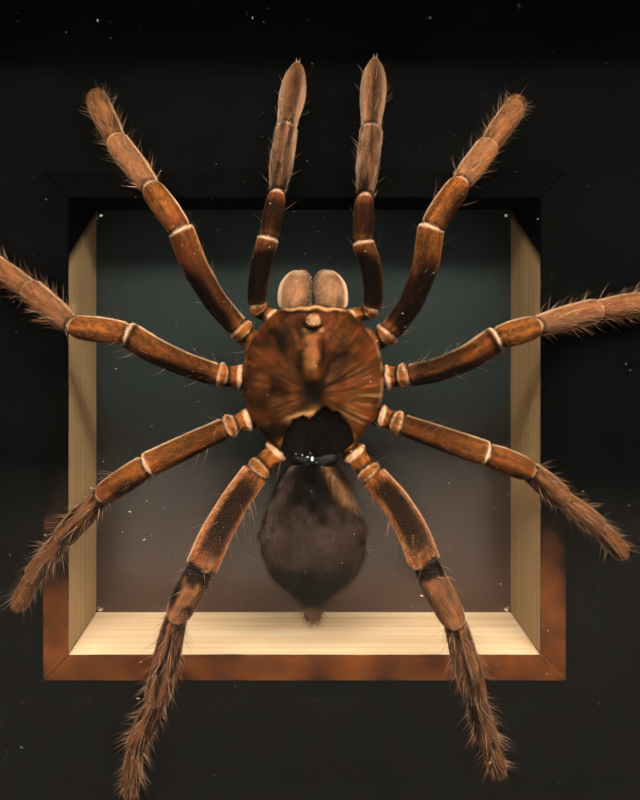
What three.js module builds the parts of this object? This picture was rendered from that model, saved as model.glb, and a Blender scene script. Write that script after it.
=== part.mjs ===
// A dried tarantula in a glazed wooden case. Millimetres, +Z up, the viewer looks along +Y.
// The origin is at the middle of the case's footprint, on the surface that the case stands on.
import * as THREE from "three";
import { mergeVertices } from "three/addons/utils/BufferGeometryUtils.js";

const { sqrt, abs, max, min, sin, cos, exp, PI } = Math;

// ---- the case: driving dimensions ----
const OPENING = { width: 250, height: 260 }; // between the rails
const RAIL = { thick: 20, deep: 108 };
const LIP = { overlap: 8, thick: 6, ease: 3.5, inner_ease: 2.5 }; // the rails' front lip, edges eased
const GAP = 0.3; // between pieces that touch
const GLASS_THICK = 3;
const AIR_DEEP = 46.7; // glass to board, the room that the spider stands in
const BOARD_THICK = 4;
const RECESS = { width: 133, height: 129, deep: 44 }; // inside the liner
const LINER = { thick: 7, proud: 2 }; // proud of the board's front
const BATTEN = { wide: 10, deep: 14 };
const PANE_THICK = 3;
const COVER_THICK = 4;
const PIN = { radius: 1, rise: 0.9, inset: 1.3 };

// ---- planes and centres that follow from them ----
const OUTER = {
  width: OPENING.width + 2 * RAIL.thick,
  height: OPENING.height + 2 * RAIL.thick,
};
const MIDDLE = OUTER.height / 2;
const FRONT = -RAIL.deep / 2;
const GLASS_FRONT = FRONT + LIP.thick + GAP;
const BOARD_FRONT = GLASS_FRONT + GLASS_THICK + AIR_DEEP;
const BATTEN_FRONT = BOARD_FRONT + BOARD_THICK + GAP;
const LINER_FRONT = BOARD_FRONT - LINER.proud;
const PANE_FRONT = LINER_FRONT + RECESS.deep + GAP;
const COVER_FRONT = PANE_FRONT + PANE_THICK + GAP;

// ---- the spider: driving dimensions ----
// Its frame: x to the right, y towards its head (up the board), z away from the board's front.
const MIDLINE = 2.2; // x of the spider's midline
const CARAPACE = { middle: 163.4, half_long: 20.8, half_wide: 19, rim: 11.8, dome: 7.4, belly: 0.7 };
const EYES = { forward: 16.4, half_wide: 2.3, half_long: 2.2, rise: 1.8 };
const FOVEA = { at: -0.16, long: 0.16, half_wide: 3.4, depth: 1.4 }; // at and long: shares of half_long
const STERNUM = { middle: 163, half_long: 15, half_wide: 7.4, height: 4.2, half_thick: 1.8 };
const PEDICEL = { from: 147.6, to: 140.8, height: 7, radius: 2 };
const ABDOMEN = { front: 140.4, tip: 100, height: 10.5, half_wide: 15.2, half_thick: 7.2 };
const SPINNERET = { spread: 1.5, length: 2.8, radius: 0.9, height: 9.6 };
const CHELICERA = { spread: 5.1, middle: 188.8, half_long: 4.7, half_wide: 4.7 };
const CHELICERA_HEIGHT = { middle: 10.4, half_thick: 5.4 };
const FANG = { length: 9, radius: 1.25, height: 3.1, droop: 1.3 };

const LIMB_SIDES = 8;
const LIMB_BEND_REACH = 2.4; // each way along the line, for the direction that a section faces
const SHOULDER = 2.4; // how soon a joint is full, unless it is short
const PALP_TIP = 0.74; // the last joint's width just before its end, as a share: palps are pointed
const LEG_TIP = 0.96;
const FOOT_GAP = 0.3; // from a foot's underside to the board
// The thickest radius of each joint of a limb, from the hip outwards:
// coxa, trochanter, femur, patella, tibia, metatarsus, tarsus. A palp has no metatarsus.
const RADII = {
  palp: [2.7, 2.4, 2.9, 2.7, 3.1, 3.5],
  leg_1: [3.4, 3.3, 3.5, 3.3, 3.2, 3.1, 2.8],
  leg_2: [3.4, 3.3, 3.5, 3.3, 3.3, 3.2, 2.9],
  leg_3: [3.3, 3.1, 3.4, 3.3, 3.2, 2.9, 2.6],
  leg_4: [3.4, 3.3, 4.3, 3.7, 3.5, 3.0, 2.6],
};
// Each limb: where its coxa starts (x, y, z), how far its femur bows to the right of its line,
// then for each joint its length along the board, its heading in degrees clockwise from the
// head's direction, and the height of its far end, which is 0 for a foot that meets the board.
const LIMBS = {
  palp_left: {
    hip: [-3.5, 175, 7],
    bow: -0.8,
    joints: [[8, -44, 8], [5, -58, 10], [19, 11, 19], [12, 11, 20], [18, 8, 16], [19.5, 9, 10]],
  },
  palp_right: {
    hip: [7.5, 175, 7],
    bow: 1.6,
    joints: [[8, 40, 8], [6, 79, 10], [19, -10, 19], [12, 3, 20], [18.5, 6, 16], [20.8, 4, 10]],
  },
  leg_1_left: {
    hip: [-5.8, 170, 7],
    bow: -2,
    joints: [
      [9.5, -66, 8], [5, -43, 11], [30, -29, 26], [13.5, -35, 27], [16, -38, 19],
      [14.5, -29, 8.5], [3, -29, 0],
    ],
  },
  leg_1_right: {
    hip: [9.8, 170, 7],
    bow: 3,
    joints: [
      [10, 66, 8], [4.5, 62, 11], [30, 19, 26], [13.7, 34, 27], [13, 39, 19],
      [15, 37, 9], [4, 37, 0],
    ],
  },
  leg_2_left: {
    hip: [-6.6, 162.8, 7],
    bow: -1.2,
    joints: [
      [11.5, -82, 8], [5.5, -85, 11], [26, -63, 25], [14, -82, 26], [16, -54, 17],
      [18, -60, 8], [14, -70, 0],
    ],
  },
  leg_2_right: {
    hip: [10.6, 162.8, 7],
    bow: 2,
    joints: [
      [12.5, 84, 8], [4.7, 84, 11], [25, 64, 25], [10.6, 73, 26], [17.8, 77, 17],
      [20, 83, 8], [14, 90, 0],
    ],
  },
  leg_3_left: {
    hip: [-6.6, 155.4, 7],
    bow: 0,
    joints: [
      [9.6, -108, 8], [5.5, -107, 11], [22.5, -113, 23], [14.1, -124, 23], [17, -137, 15],
      [16, -141, 7], [12.5, -151, 0],
    ],
  },
  leg_3_right: {
    hip: [10.6, 155.4, 7],
    bow: 0,
    joints: [
      [11, 101, 8], [4.7, 110, 11], [23, 107, 23], [12, 111, 23], [13, 130, 15],
      [15, 128, 8], [13.5, 136, 0],
    ],
  },
  leg_4_left: {
    hip: [-4.2, 149.4, 7],
    bow: 1.2,
    joints: [
      [6.6, -147, 8], [7, -133, 11], [28, -149, 24], [14, -153, 25], [24.8, -166, 17],
      [17.5, -157, 9], [17, -170, 0],
    ],
  },
  leg_4_right: {
    hip: [8.2, 149.4, 7],
    bow: -2,
    joints: [
      [8.4, 138, 8], [6.6, 142, 11], [25.6, 148, 24], [17, 153, 25], [22, 164, 17],
      [17, 162, 9], [13, 160, 0],
    ],
  },
};
const FEMUR = 2; // its place among the joints

// ---- materials ----
const paint = (color, roughness, metalness = 0) =>
  new THREE.MeshStandardMaterial({ color, roughness, metalness });
const CASE_WOOD = paint(0x2a1b12, 0.5);
const LINER_WOOD = paint(0xd9b98c, 0.6);
const BLACK_BOARD = paint(0x0c0c0e, 0.7);
const BATTEN_WOOD = paint(0xc7a777, 0.7);
const COVER_BOARD = paint(0x7a5637, 0.8);
const RECESS_GLASS = paint(0x252b2a, 0.15);
const PIN_STEEL = paint(0xd8d8d8, 0.2, 1);
const CLEAR_GLASS = new THREE.MeshStandardMaterial({
  color: 0xf2f7f5,
  roughness: 0.03,
  transparent: true,
  opacity: 0.15,
});
const LIMB_VELVET = paint(0x9a5426, 0.8);
const SHIELD_VELVET = paint(0x7a3f1c, 0.7);
const ABDOMEN_SKIN = paint(0x3a2c26, 0.6);
const FANG_HORN = paint(0x120a08, 0.2);

// ---- shaping ----

// Merges the vertices that share a place and drops the faces that this leaves with no area.
function closed(geometry) {
  geometry.deleteAttribute("normal");
  geometry.deleteAttribute("uv");
  const merged = mergeVertices(geometry, 1e-3);
  const corners = [];
  for (let i = 0; i < merged.index.count; i += 3) {
    const face = [0, 1, 2].map((k) => merged.index.getX(i + k));
    if (new Set(face).size === 3) corners.push(...face);
  }
  merged.setIndex(corners);
  merged.computeVertexNormals();
  return merged;
}

// Moves every vertex of a geometry by place(vertex), which changes the vertex that it is given.
function reshaped(geometry, place) {
  const position = geometry.getAttribute("position");
  const vertex = new THREE.Vector3();
  for (let i = 0; i < position.count; i++) {
    place(vertex.fromBufferAttribute(position, i));
    position.setXYZ(i, vertex.x, vertex.y, vertex.z);
  }
  return closed(geometry);
}

function mesh(name, geometry, material) {
  const made = new THREE.Mesh(geometry, material);
  made.name = name;
  return made;
}

function slab(name, width, deep, height, front, material) {
  const made = mesh(name, new THREE.BoxGeometry(width, deep, height), material);
  made.position.set(0, front + deep / 2, MIDDLE);
  return made;
}

// ---- the case ----

// Four mitred boards round a rectangle whose outside is width by height. The section's x runs
// inwards from the outside and its y runs back; each end is sheared by its distance inwards.
function mitredFour(stem, section, width, height, material) {
  const sides = [
    ["top", width, height, 180],
    ["bottom", width, height, 0],
    ["left", height, width, -90],
    ["right", height, width, 90],
  ];
  return sides.map(([side, length, across, turn]) => {
    const bar = new THREE.ExtrudeGeometry(section, { depth: 1, bevelEnabled: false });
    const geometry = reshaped(bar, (v) => {
      const inwards = v.x;
      v.set((1 - 2 * v.z) * (length / 2 - inwards - GAP / 2), v.y, inwards - across / 2);
    });
    const made = mesh(stem + "_" + side, geometry, material);
    made.position.z = MIDDLE;
    made.rotation.y = -THREE.MathUtils.degToRad(turn);
    return made;
  });
}

function rectangle(x0, x1, y0, y1) {
  return new THREE.Shape([
    new THREE.Vector2(x0, y0),
    new THREE.Vector2(x1, y0),
    new THREE.Vector2(x1, y1),
    new THREE.Vector2(x0, y1),
  ]);
}

// The rail's section: a deep board with a lip at its front, its two front edges rounded.
function railSection() {
  const back = FRONT + RAIL.deep;
  const lipEnd = RAIL.thick + LIP.overlap;
  const s = new THREE.Shape();
  s.moveTo(0, back);
  s.lineTo(0, FRONT + LIP.ease);
  s.absarc(LIP.ease, FRONT + LIP.ease, LIP.ease, PI, 1.5 * PI, false);
  s.lineTo(lipEnd - LIP.inner_ease, FRONT);
  s.absarc(lipEnd - LIP.inner_ease, FRONT + LIP.inner_ease, LIP.inner_ease, -PI / 2, 0, false);
  s.lineTo(lipEnd, FRONT + LIP.thick);
  s.lineTo(RAIL.thick, FRONT + LIP.thick);
  s.lineTo(RAIL.thick, back);
  return coarse(s, 4);
}

// A shape's outline as straight steps, with a few to each arc.
function coarse(shape, steps) {
  return new THREE.Shape(shape.getPoints(steps));
}

function rails() {
  return mitredFour("frame_rail", railSection(), OUTER.width, OUTER.height, CASE_WOOD);
}

function liner() {
  const section = rectangle(0, LINER.thick, LINER_FRONT, LINER_FRONT + RECESS.deep);
  const width = RECESS.width + 2 * LINER.thick;
  const height = RECESS.height + 2 * LINER.thick;
  return mitredFour("liner", section, width, height, LINER_WOOD);
}

function battens() {
  const section = rectangle(0, BATTEN.wide, BATTEN_FRONT, BATTEN_FRONT + BATTEN.deep);
  const width = OPENING.width - 2 * GAP;
  const height = OPENING.height - 2 * GAP;
  return mitredFour("batten", section, width, height, BATTEN_WOOD);
}

// The black board, with a window that the liner passes through.
function backingBoard() {
  const halfWidth = OPENING.width / 2 - GAP;
  const halfHeight = OPENING.height / 2 - GAP;
  const board = rectangle(-halfWidth, halfWidth, -halfHeight, halfHeight);
  const windowX = RECESS.width / 2 + LINER.thick + GAP;
  const windowY = RECESS.height / 2 + LINER.thick + GAP;
  board.holes.push(rectangle(-windowX, windowX, -windowY, windowY));
  const cut = new THREE.ExtrudeGeometry(board, { depth: BOARD_THICK, bevelEnabled: false });
  const made = mesh("backing_board", closed(cut), BLACK_BOARD);
  made.rotation.x = PI / 2;
  made.position.set(0, BOARD_FRONT + BOARD_THICK, MIDDLE);
  return made;
}

function panes() {
  const width = OPENING.width - 2 * GAP;
  const height = OPENING.height - 2 * GAP;
  const paneWidth = RECESS.width + 2 * LINER.thick;
  const paneHeight = RECESS.height + 2 * LINER.thick;
  return [
    slab("front_glass", width, GLASS_THICK, height, GLASS_FRONT, CLEAR_GLASS),
    slab("recess_back", paneWidth, PANE_THICK, paneHeight, PANE_FRONT, RECESS_GLASS),
    slab("rear_cover", width, COVER_THICK, height, COVER_FRONT, COVER_BOARD),
  ];
}

// Small domed pin heads at the four corners of the recess.
function recessPins() {
  const dome = [[0, 0], [1, 0], [0.95, 0.45], [0.6, 0.85], [0, 1]].map(
    ([r, y]) => new THREE.Vector2(r * PIN.radius, y * PIN.rise),
  );
  const pins = [];
  for (const up of [1, -1])
    for (const right of [-1, 1]) {
      const head = closed(new THREE.LatheGeometry(dome, 12));
      const made = mesh("recess_pin_" + (pins.length + 1), head, PIN_STEEL);
      made.rotation.x = PI;
      made.position.set(
        right * (RECESS.width / 2 - PIN.inset),
        PANE_FRONT - GAP,
        MIDDLE + up * (RECESS.height / 2 - PIN.inset),
      );
      pins.push(made);
    }
  return pins;
}

// ---- the spider's body ----

const smooth = (from, to, t) => THREE.MathUtils.smoothstep(t, from, to);

// How full a body is at t, from -1 to 1 along its length: 1 in the middle and 0 at both ends,
// which are the blunter the smaller the power is.
const fullness = (t, power) => max(0, 1 - t * t) ** power;

// A solid of rings: t is the place along its length, (u, w) is a point of the unit circle.
function ringed(sides, rings, place) {
  return reshaped(new THREE.SphereGeometry(1, sides, rings), (v) => {
    const ring = sqrt(max(1e-12, 1 - v.y * v.y));
    place(v, v.y, v.x / ring, v.z / ring);
  });
}

// The shield: broad behind, narrowing to a blunt head, domed above and flat below, with a
// dip at the fovea behind its middle and a raised mound that carries the eyes.
function carapace() {
  const c = CARAPACE;
  const geometry = ringed(28, 18, (v, t, u, w) => {
    const end = fullness(t, 0.16);
    const narrowing = t > 0 ? 0.42 * t ** 2.6 : 0.5 * abs(t) ** 2.2;
    const x = u * c.half_wide * (1 - narrowing) * end;
    const y = c.middle + t * c.half_long;
    const across = (x / c.half_wide) ** 2;
    const dome = c.dome * (0.62 + 0.38 * smooth(-0.7, 0.7, t)) * (1 - 0.25 * across);
    const fovea = FOVEA.depth * exp(-((x / FOVEA.half_wide) ** 2) - ((t - FOVEA.at) / FOVEA.long) ** 2);
    const beyond = (t * c.half_long - EYES.forward) / EYES.half_long;
    const mound = EYES.rise * exp(-((x / EYES.half_wide) ** 2) - beyond ** 2);
    const top = dome * end ** 0.8 + mound * end - fovea;
    v.set(MIDLINE + x, y, c.rim + (w > 0 ? w * top : w * c.belly * end));
  });
  return mesh("carapace", geometry, SHIELD_VELVET);
}

function sternum() {
  const s = STERNUM;
  const geometry = ringed(14, 10, (v, t, u, w) => {
    const end = fullness(t, 0.35);
    v.set(
      MIDLINE + u * s.half_wide * end * (1 - 0.15 * t),
      s.middle + t * s.half_long,
      s.height + w * s.half_thick * end,
    );
  });
  return mesh("sternum", geometry, SHIELD_VELVET);
}

function pedicel() {
  const length = PEDICEL.from - PEDICEL.to;
  const profile = [[0, 0], [1, 0], [0.75, 0.5], [1, 1], [0, 1]].map(
    ([r, y]) => new THREE.Vector2(r * PEDICEL.radius, y * length),
  );
  const made = mesh("pedicel", closed(new THREE.LatheGeometry(profile, 10)), ABDOMEN_SKIN);
  made.position.set(MIDLINE, PEDICEL.to, PEDICEL.height);
  return made;
}

// The shrunken abdomen: a narrow front, its widest place a little behind its middle and a
// pointed end.
function abdomen() {
  const a = ABDOMEN;
  const halfLong = (a.front - a.tip) / 2;
  const middle = (a.front + a.tip) / 2;
  const geometry = ringed(24, 16, (v, t, u, w) => {
    const width = (1 - 0.28 * smooth(0, 0.9, t)) * (1 - 0.35 * smooth(0.5, 0.9, -t));
    const end = fullness(t, t > 0 ? 0.15 : 0.8);
    v.set(
      MIDLINE + u * a.half_wide * width * end,
      middle + t * halfLong,
      a.height + w * a.half_thick * width * end,
    );
  });
  return mesh("abdomen", geometry, ABDOMEN_SKIN);
}

function jaw(side, hand) {
  const c = CHELICERA;
  const geometry = ringed(14, 10, (v, t, u, w) => {
    const front = ((t + 1) / 2) ** 2;
    const end = fullness(t, t > 0 ? 0.34 : 0.1);
    v.set(
      MIDLINE + hand * (c.spread - 1.3 * front) + u * (c.half_wide - 1.1 * front) * end,
      c.middle + t * c.half_long,
      CHELICERA_HEIGHT.middle + w * CHELICERA_HEIGHT.half_thick * end * (1 - 0.1 * t),
    );
  });
  return mesh("chelicera_" + side, geometry, LIMB_VELVET);
}

// ---- limbs: a lathed profile, laid along the line of its joints ----

// The point at a distance along a polyline, which runs straight on past both ends.
function pointAt(line, distance) {
  let i = 0;
  while (i < line.lengths.length - 1 && distance > line.lengths[i]) {
    distance -= line.lengths[i];
    i++;
  }
  return line.points[i].clone().lerp(line.points[i + 1], distance / line.lengths[i]);
}

function polyline(points) {
  const lengths = points.slice(1).map((p, i) => p.distanceTo(points[i]));
  return { points, lengths };
}

// Bends a lathed solid, whose axis is y, along a polyline. Sections stand square to the line's
// direction taken over a reach each way, so that they turn evenly round a joint.
function bent(profile, sides, line, reach) {
  const up = new THREE.Vector3(0, 0, 1);
  return reshaped(new THREE.LatheGeometry(profile, sides), (v) => {
    const ahead = pointAt(line, v.y + reach);
    const along = ahead.sub(pointAt(line, v.y - reach)).normalize();
    const across = new THREE.Vector3().crossVectors(along, up).normalize();
    const over = new THREE.Vector3().crossVectors(across, along);
    const centre = pointAt(line, v.y);
    v.copy(centre.addScaledVector(across, v.x).addScaledVector(over, v.z));
  });
}

// The profile of a straightened limb: each joint swells towards its far end and is narrow where
// it meets the next one. The last narrows to the share tipWidth of its radius before its end.
function limbProfile(lengths, radii, tipWidth) {
  const profile = [new THREE.Vector2(0, 0)];
  let start = 0;
  lengths.forEach((length, i) => {
    const radius = radii[i];
    const waist = i === 0 ? 0.9 * radius : 0.84 * min(radius, radii[i - 1]);
    const shoulder = min(SHOULDER, 0.3 * length);
    profile.push(new THREE.Vector2(waist, start));
    profile.push(new THREE.Vector2(0.93 * radius, start + shoulder));
    profile.push(new THREE.Vector2(radius, start + 0.6 * length));
    const end = i === lengths.length - 1 ? tipWidth : 0.96;
    profile.push(new THREE.Vector2(end * radius, start + length - shoulder * 0.9));
    start += length;
  });
  const last = radii[radii.length - 1];
  profile.push(new THREE.Vector2(0.57 * tipWidth * last, start));
  profile.push(new THREE.Vector2(0, start));
  return profile;
}

// The points of a limb's line, one list for each of its joints: the far end, and on the femur
// two points before it that bow it sideways.
function limbPoints({ hip, bow, joints }, radii) {
  let from = new THREE.Vector3(...hip);
  return joints.map(([length, heading, height], i) => {
    const turn = THREE.MathUtils.degToRad(heading);
    const step = new THREE.Vector3(length * sin(turn), length * cos(turn), 0);
    const to = from.clone().add(step);
    to.z = height > 0 ? height : radii[i] * 0.6 + FOOT_GAP;
    const aside = new THREE.Vector3(cos(turn), -sin(turn), 0);
    const bends = i === FEMUR ? [1 / 3, 2 / 3] : [];
    const between = bends.map((t) =>
      from.clone().lerp(to, t).addScaledVector(aside, 4 * t * (1 - t) * bow),
    );
    from = to;
    return [...between, to];
  });
}

function limb(name, shape) {
  const radii = RADII[name.replace(/_(left|right)$/, "")];
  const stretches = limbPoints(shape, radii);
  const line = polyline([new THREE.Vector3(...shape.hip), ...stretches.flat()]);
  let used = 0;
  const lengths = stretches.map((points) => {
    const own = line.lengths.slice(used, used + points.length);
    used += points.length;
    return own.reduce((sum, length) => sum + length, 0);
  });
  const profile = limbProfile(lengths, radii, name.startsWith("palp") ? PALP_TIP : LEG_TIP);
  return mesh(name, bent(profile, LIMB_SIDES, line, LIMB_BEND_REACH), LIMB_VELVET);
}

function fang(side, hand) {
  const x = MIDLINE + hand * CHELICERA.spread;
  const root = CHELICERA.middle + 0.6 * CHELICERA.half_long;
  const points = [0, 0.35, 0.7, 1].map(
    (t) =>
      new THREE.Vector3(x, root - t * FANG.length, FANG.height - FANG.droop * sin(t * PI)),
  );
  const line = polyline(points);
  const length = line.lengths.reduce((sum, l) => sum + l, 0);
  const profile = [[0, 0], [0.8, 0], [1, 0.15], [0.8, 0.5], [0.45, 0.8], [0.12, 1], [0, 1]].map(
    ([r, y]) => new THREE.Vector2(r * FANG.radius, y * length),
  );
  return mesh("fang_" + side, bent(profile, 8, line, 1), FANG_HORN);
}

function spinneret(side, hand) {
  const profile = [[0, 0], [0.8, 0], [1, 0.3], [0.7, 0.8], [0, 1]].map(
    ([r, y]) => new THREE.Vector2(r * SPINNERET.radius, y * SPINNERET.length),
  );
  const made = mesh("spinneret_" + side, closed(new THREE.LatheGeometry(profile, 8)), LIMB_VELVET);
  made.rotation.z = PI;
  made.position.set(MIDLINE + hand * SPINNERET.spread, ABDOMEN.tip, SPINNERET.height);
  return made;
}

// The spider, turned so that its back faces the glass, its feet on the front of the board.
function spider() {
  const whole = new THREE.Group();
  whole.rotation.x = PI / 2;
  whole.position.y = BOARD_FRONT;
  whole.add(carapace(), sternum(), pedicel(), abdomen());
  for (const [side, hand] of [["left", -1], ["right", 1]]) {
    whole.add(jaw(side, hand), fang(side, hand), spinneret(side, hand));
  }
  for (const name of Object.keys(LIMBS)) whole.add(limb(name, LIMBS[name]));
  return whole;
}

const specimen = new THREE.Group();
specimen.add(...rails(), ...panes(), backingBoard(), ...battens(), ...liner(), ...recessPins());
specimen.add(spider());

export default specimen;
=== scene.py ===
"""A dried bird-eating spider in a glazed wooden case.

Metres, +Z up, the viewer looks along +Y. The spider is worked out in millimetres in a frame of its
own: x to the right, y up the board towards its head, h off the board towards the glass.
"""

import bpy
import numpy as np
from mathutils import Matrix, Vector


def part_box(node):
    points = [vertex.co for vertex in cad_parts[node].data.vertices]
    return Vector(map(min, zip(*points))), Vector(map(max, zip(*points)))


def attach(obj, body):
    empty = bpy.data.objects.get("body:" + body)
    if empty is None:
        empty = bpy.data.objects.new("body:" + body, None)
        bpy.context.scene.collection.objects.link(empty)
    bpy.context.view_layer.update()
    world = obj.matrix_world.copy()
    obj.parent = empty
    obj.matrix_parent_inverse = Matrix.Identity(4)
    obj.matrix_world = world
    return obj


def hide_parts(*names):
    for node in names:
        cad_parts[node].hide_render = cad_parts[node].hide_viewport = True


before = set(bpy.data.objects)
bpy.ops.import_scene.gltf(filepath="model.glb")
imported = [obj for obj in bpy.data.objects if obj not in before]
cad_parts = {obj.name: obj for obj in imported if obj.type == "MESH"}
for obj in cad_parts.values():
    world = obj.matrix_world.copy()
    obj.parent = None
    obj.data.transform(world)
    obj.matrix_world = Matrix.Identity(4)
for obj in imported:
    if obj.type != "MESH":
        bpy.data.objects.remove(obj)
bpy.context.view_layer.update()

MM = 0.001
BODY = "root"
BOARD_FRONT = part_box("backing_board")[0].y / MM

# ---- the camera and the light ----
FRAME_WIDE, FRAME_HIGH = 640, 800
LENS, SENSOR = 50, 36
CAMERA_AT = (-2.4, BOARD_FRONT - 315, 184.1)  # mm, square to the glass, level with the spider's head
SQUARE_ON = (296, 305)  # the pixel that the camera faces: the rest of the framing is its shift

# ---- the recess, in mm ----
RECESS_DEEP = 44
PAINTED_SHADOW_FRONT, PAINTED_SHADOW_BACK = 196, 213  # heights on the side boards, at the front and at the back, above which painted shadow makes them near black

# ---- the spider's measures, in mm in its own frame ----
MIDLINE = 2.2
SHIELD = {"middle": 163.4, "half_long": 20.8, "half_wide": 19, "rim": 11.8, "dome": 7.4, "belly": 0.7}
SHIELD_END = 0.16  # the power that rounds both its ends: the lower, the blunter
EYES = {"forward": 16.4, "half_wide": 2.3, "half_long": 2.2, "rise": 1.8}
FOVEA = {"at": -0.16, "long": 0.16, "half_wide": 3.4, "depth": 1.4}
# The front edge of the shield's broken patch: x from its midline and how far forward of its middle.
BREAK = (
    (-9.5, -23), (-8, -15.5), (-7.2, -13), (-5.3, -10.4), (-3.2, -9.0), (-1.2, -10.2), (2.7, -6.6),
    (4, -7.4), (6.5, -8.2), (8.7, -10.3), (10.4, -13.4), (11.2, -16), (12.6, -23),
)
BREAK_DEEP = 2.6
STERNUM = {"middle": 163, "half_long": 15, "half_wide": 7.4, "height": 4.2, "half_thick": 1.8}
ABDOMEN = {"front": 140.4, "tip": 100, "height": 10.5, "half_wide": 15.2, "half_thick": 7.2}
WAIST = {
    "aside": 0.6, "middle": 142.6, "height": 10.6, "half_wide": 7.6, "half_long": 4.4, "half_thick": 3.4,
}
# Pale beads on the waist, painted highlights for the wet glints of its crust: the middle of each and its
# radii.
HIGHLIGHT_BEADS = (
    ((2.0, 142.5, 14.3), (0.4, 0.7, 0.4)), ((0.7, 143.0, 14.2), (0.42, 0.16, 0.2)),
    ((-0.7, 143.5, 14.1), (0.16, 0.2, 0.2)), ((-2.4, 143.8, 13.8), (0.26, 0.12, 0.15)),
    ((3.1, 141.5, 14.1), (0.12, 0.2, 0.2)), ((1.4, 144.1, 14.2), (0.12, 0.1, 0.1)),
)
JAW = {
    "spread": 5.1, "middle": 188.8, "half_long": 4.7, "half_wide": 4.7, "height": 10.4, "half_thick": 5.4,
}

# The thickest radius of each joint of a limb, from the hip outwards. A palp has one joint less.
RADII = {
    "palp": (2.7, 2.4, 2.9, 2.7, 3.1, 3.5),
    "leg_1": (3.4, 3.3, 3.5, 3.3, 3.2, 3.1, 2.8),
    "leg_2": (3.4, 3.3, 3.5, 3.3, 3.3, 3.2, 2.9),
    "leg_3": (3.3, 3.1, 3.4, 3.3, 3.2, 2.9, 2.6),
    "leg_4": (3.4, 3.3, 4.3, 3.7, 3.5, 3.0, 2.6),
}
# Each limb: its hip (x, y, h), how far its femur bows to the right of its line, then for each of its
# joints the length along the board, the heading in degrees clockwise from the head, and the height
# of its far end, which is 0 for a foot on the board.
LIMBS = {
    "palp_left": ((-3.5, 175, 7), -0.8, (
        (8, -44, 8), (5, -58, 10), (19, 11, 19), (12, 11, 20), (18, 8, 16), (19.5, 9, 10),
    )),
    "palp_right": ((7.5, 175, 7), 1.6, (
        (8, 40, 8), (6, 79, 10), (19, -10, 19), (12, 3, 20), (18.5, 6, 16), (20.8, 4, 10),
    )),
    "leg_1_left": ((-5.8, 170, 7), -2, (
        (9.5, -66, 8), (5, -43, 11), (30, -29, 26), (13.5, -35, 27), (16, -38, 19),
        (14.5, -29, 8.5), (3, -29, 0),
    )),
    "leg_1_right": ((9.8, 170, 7), 3, (
        (10, 66, 8), (4.5, 62, 11), (30, 19, 26), (13.7, 34, 27), (13, 39, 19),
        (15, 37, 9), (4, 37, 0),
    )),
    "leg_2_left": ((-6.6, 162.8, 7), -1.2, (
        (11.5, -82, 8), (5.5, -85, 11), (26, -63, 25), (14, -82, 26), (16, -54, 17),
        (18, -60, 8), (14, -70, 0),
    )),
    "leg_2_right": ((10.6, 162.8, 7), 2, (
        (12.5, 84, 8), (4.7, 84, 11), (25, 64, 25), (10.6, 73, 26), (17.8, 77, 17),
        (20, 83, 8), (14, 90, 0),
    )),
    "leg_3_left": ((-6.6, 155.4, 7), 0, (
        (9.6, -108, 8), (5.5, -107, 11), (22.5, -113, 23), (14.1, -124, 23), (17, -137, 15),
        (16, -141, 7), (12.5, -151, 0),
    )),
    "leg_3_right": ((10.6, 155.4, 7), 0, (
        (11, 101, 8), (4.7, 110, 11), (23, 107, 23), (12, 111, 23), (13, 130, 15),
        (15, 128, 8), (13.5, 136, 0),
    )),
    "leg_4_left": ((-4.2, 149.4, 7), 1.2, (
        (6.6, -147, 8), (7, -133, 11), (28, -149, 24), (14, -153, 25), (24.8, -166, 17),
        (17.5, -157, 9), (17, -170, 0),
    )),
    "leg_4_right": ((8.2, 149.4, 7), -2, (
        (8.4, 138, 8), (6.6, 142, 11), (25.6, 148, 24), (17, 153, 25), (22, 164, 17),
        (17, 162, 9), (13, 160, 0),
    )),
}
COXA, TROCHANTER, FEMUR, PATELLA, TIBIA = range(5)
FOOT_GAP = 0.3  # from a foot's underside to the board
LIMB_RING, LIMB_SIDES = 0.42, 36  # mm from ring to ring along a limb, and the points of a ring
TIP_RINGS = (0.45, 0.3, 0.16, 0.06, 0.015)  # mm before a limb's end
BOARD_GAP = 0.05  # from the lowest hairs to the board
TIP = ((1.2, 0.5), (3.0, 0.75))  # the length in radii and the power of a leg's and a palp's tip

# How worn each limb is, from 0 to 1: the top of its femur, and between which shares of the femur's
# length that fades, then the patches on its patella and on each joint further out. Where a limb has
# an entry of its own, that goes before its kind's.
FEMUR_DARK = {
    "palp": 1.0, "leg_1": 0.75, "leg_1_right": 0.9, "leg_2": 0.58, "leg_2_right": 0.72,
    "leg_3": 0.45, "leg_4": 0.92,
}
DARK_TO = {
    "palp": (0.65, 1.05), "leg_1": (0.4, 0.9), "leg_1_right": (0.5, 0.95), "leg_2": (0.45, 0.9),
    "leg_3": (0.45, 0.9),
}
PATELLA_DARK = {
    "palp": 0.89, "leg_1": 0.05, "leg_1_right": 0.45, "leg_2": 0.05, "leg_3": 0.75,
    "leg_3_right": 0.35, "leg_4": 0.97, "leg_4_right": 0.5,
}
OUTER_DARK = {
    "palp": (0.5, 0.15), "leg_1": (0.0, 0.4, 0.4), "leg_1_right": (0.0, 0.33, 0.35),
    "leg_2": (0.3, 0.35, 0.15), "leg_2_right": (0.05, 0.1, 0.0), "leg_3": (0.7, 0.45, 0.25),
    "leg_3_right": (0.35, 0.3, 0.2), "leg_4": (0.65, 0.68, 0.42),
}
# For each joint from the hip out: how pale its far rim is, how pale it is all over, and how warm.
RIM_PALE = np.array([0.0, 0.0, 0.8, 0.6, 0.5, 0.4, 0.0])
OWN_PALE = np.array([0.0, 0.0, 0.0, 0.0, 0.07, 0.07, 0.03])
OWN_WARM = np.array([0.0, 0.0, 0.0, 0.1, 0.2, 0.3, 0.3])

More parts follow.
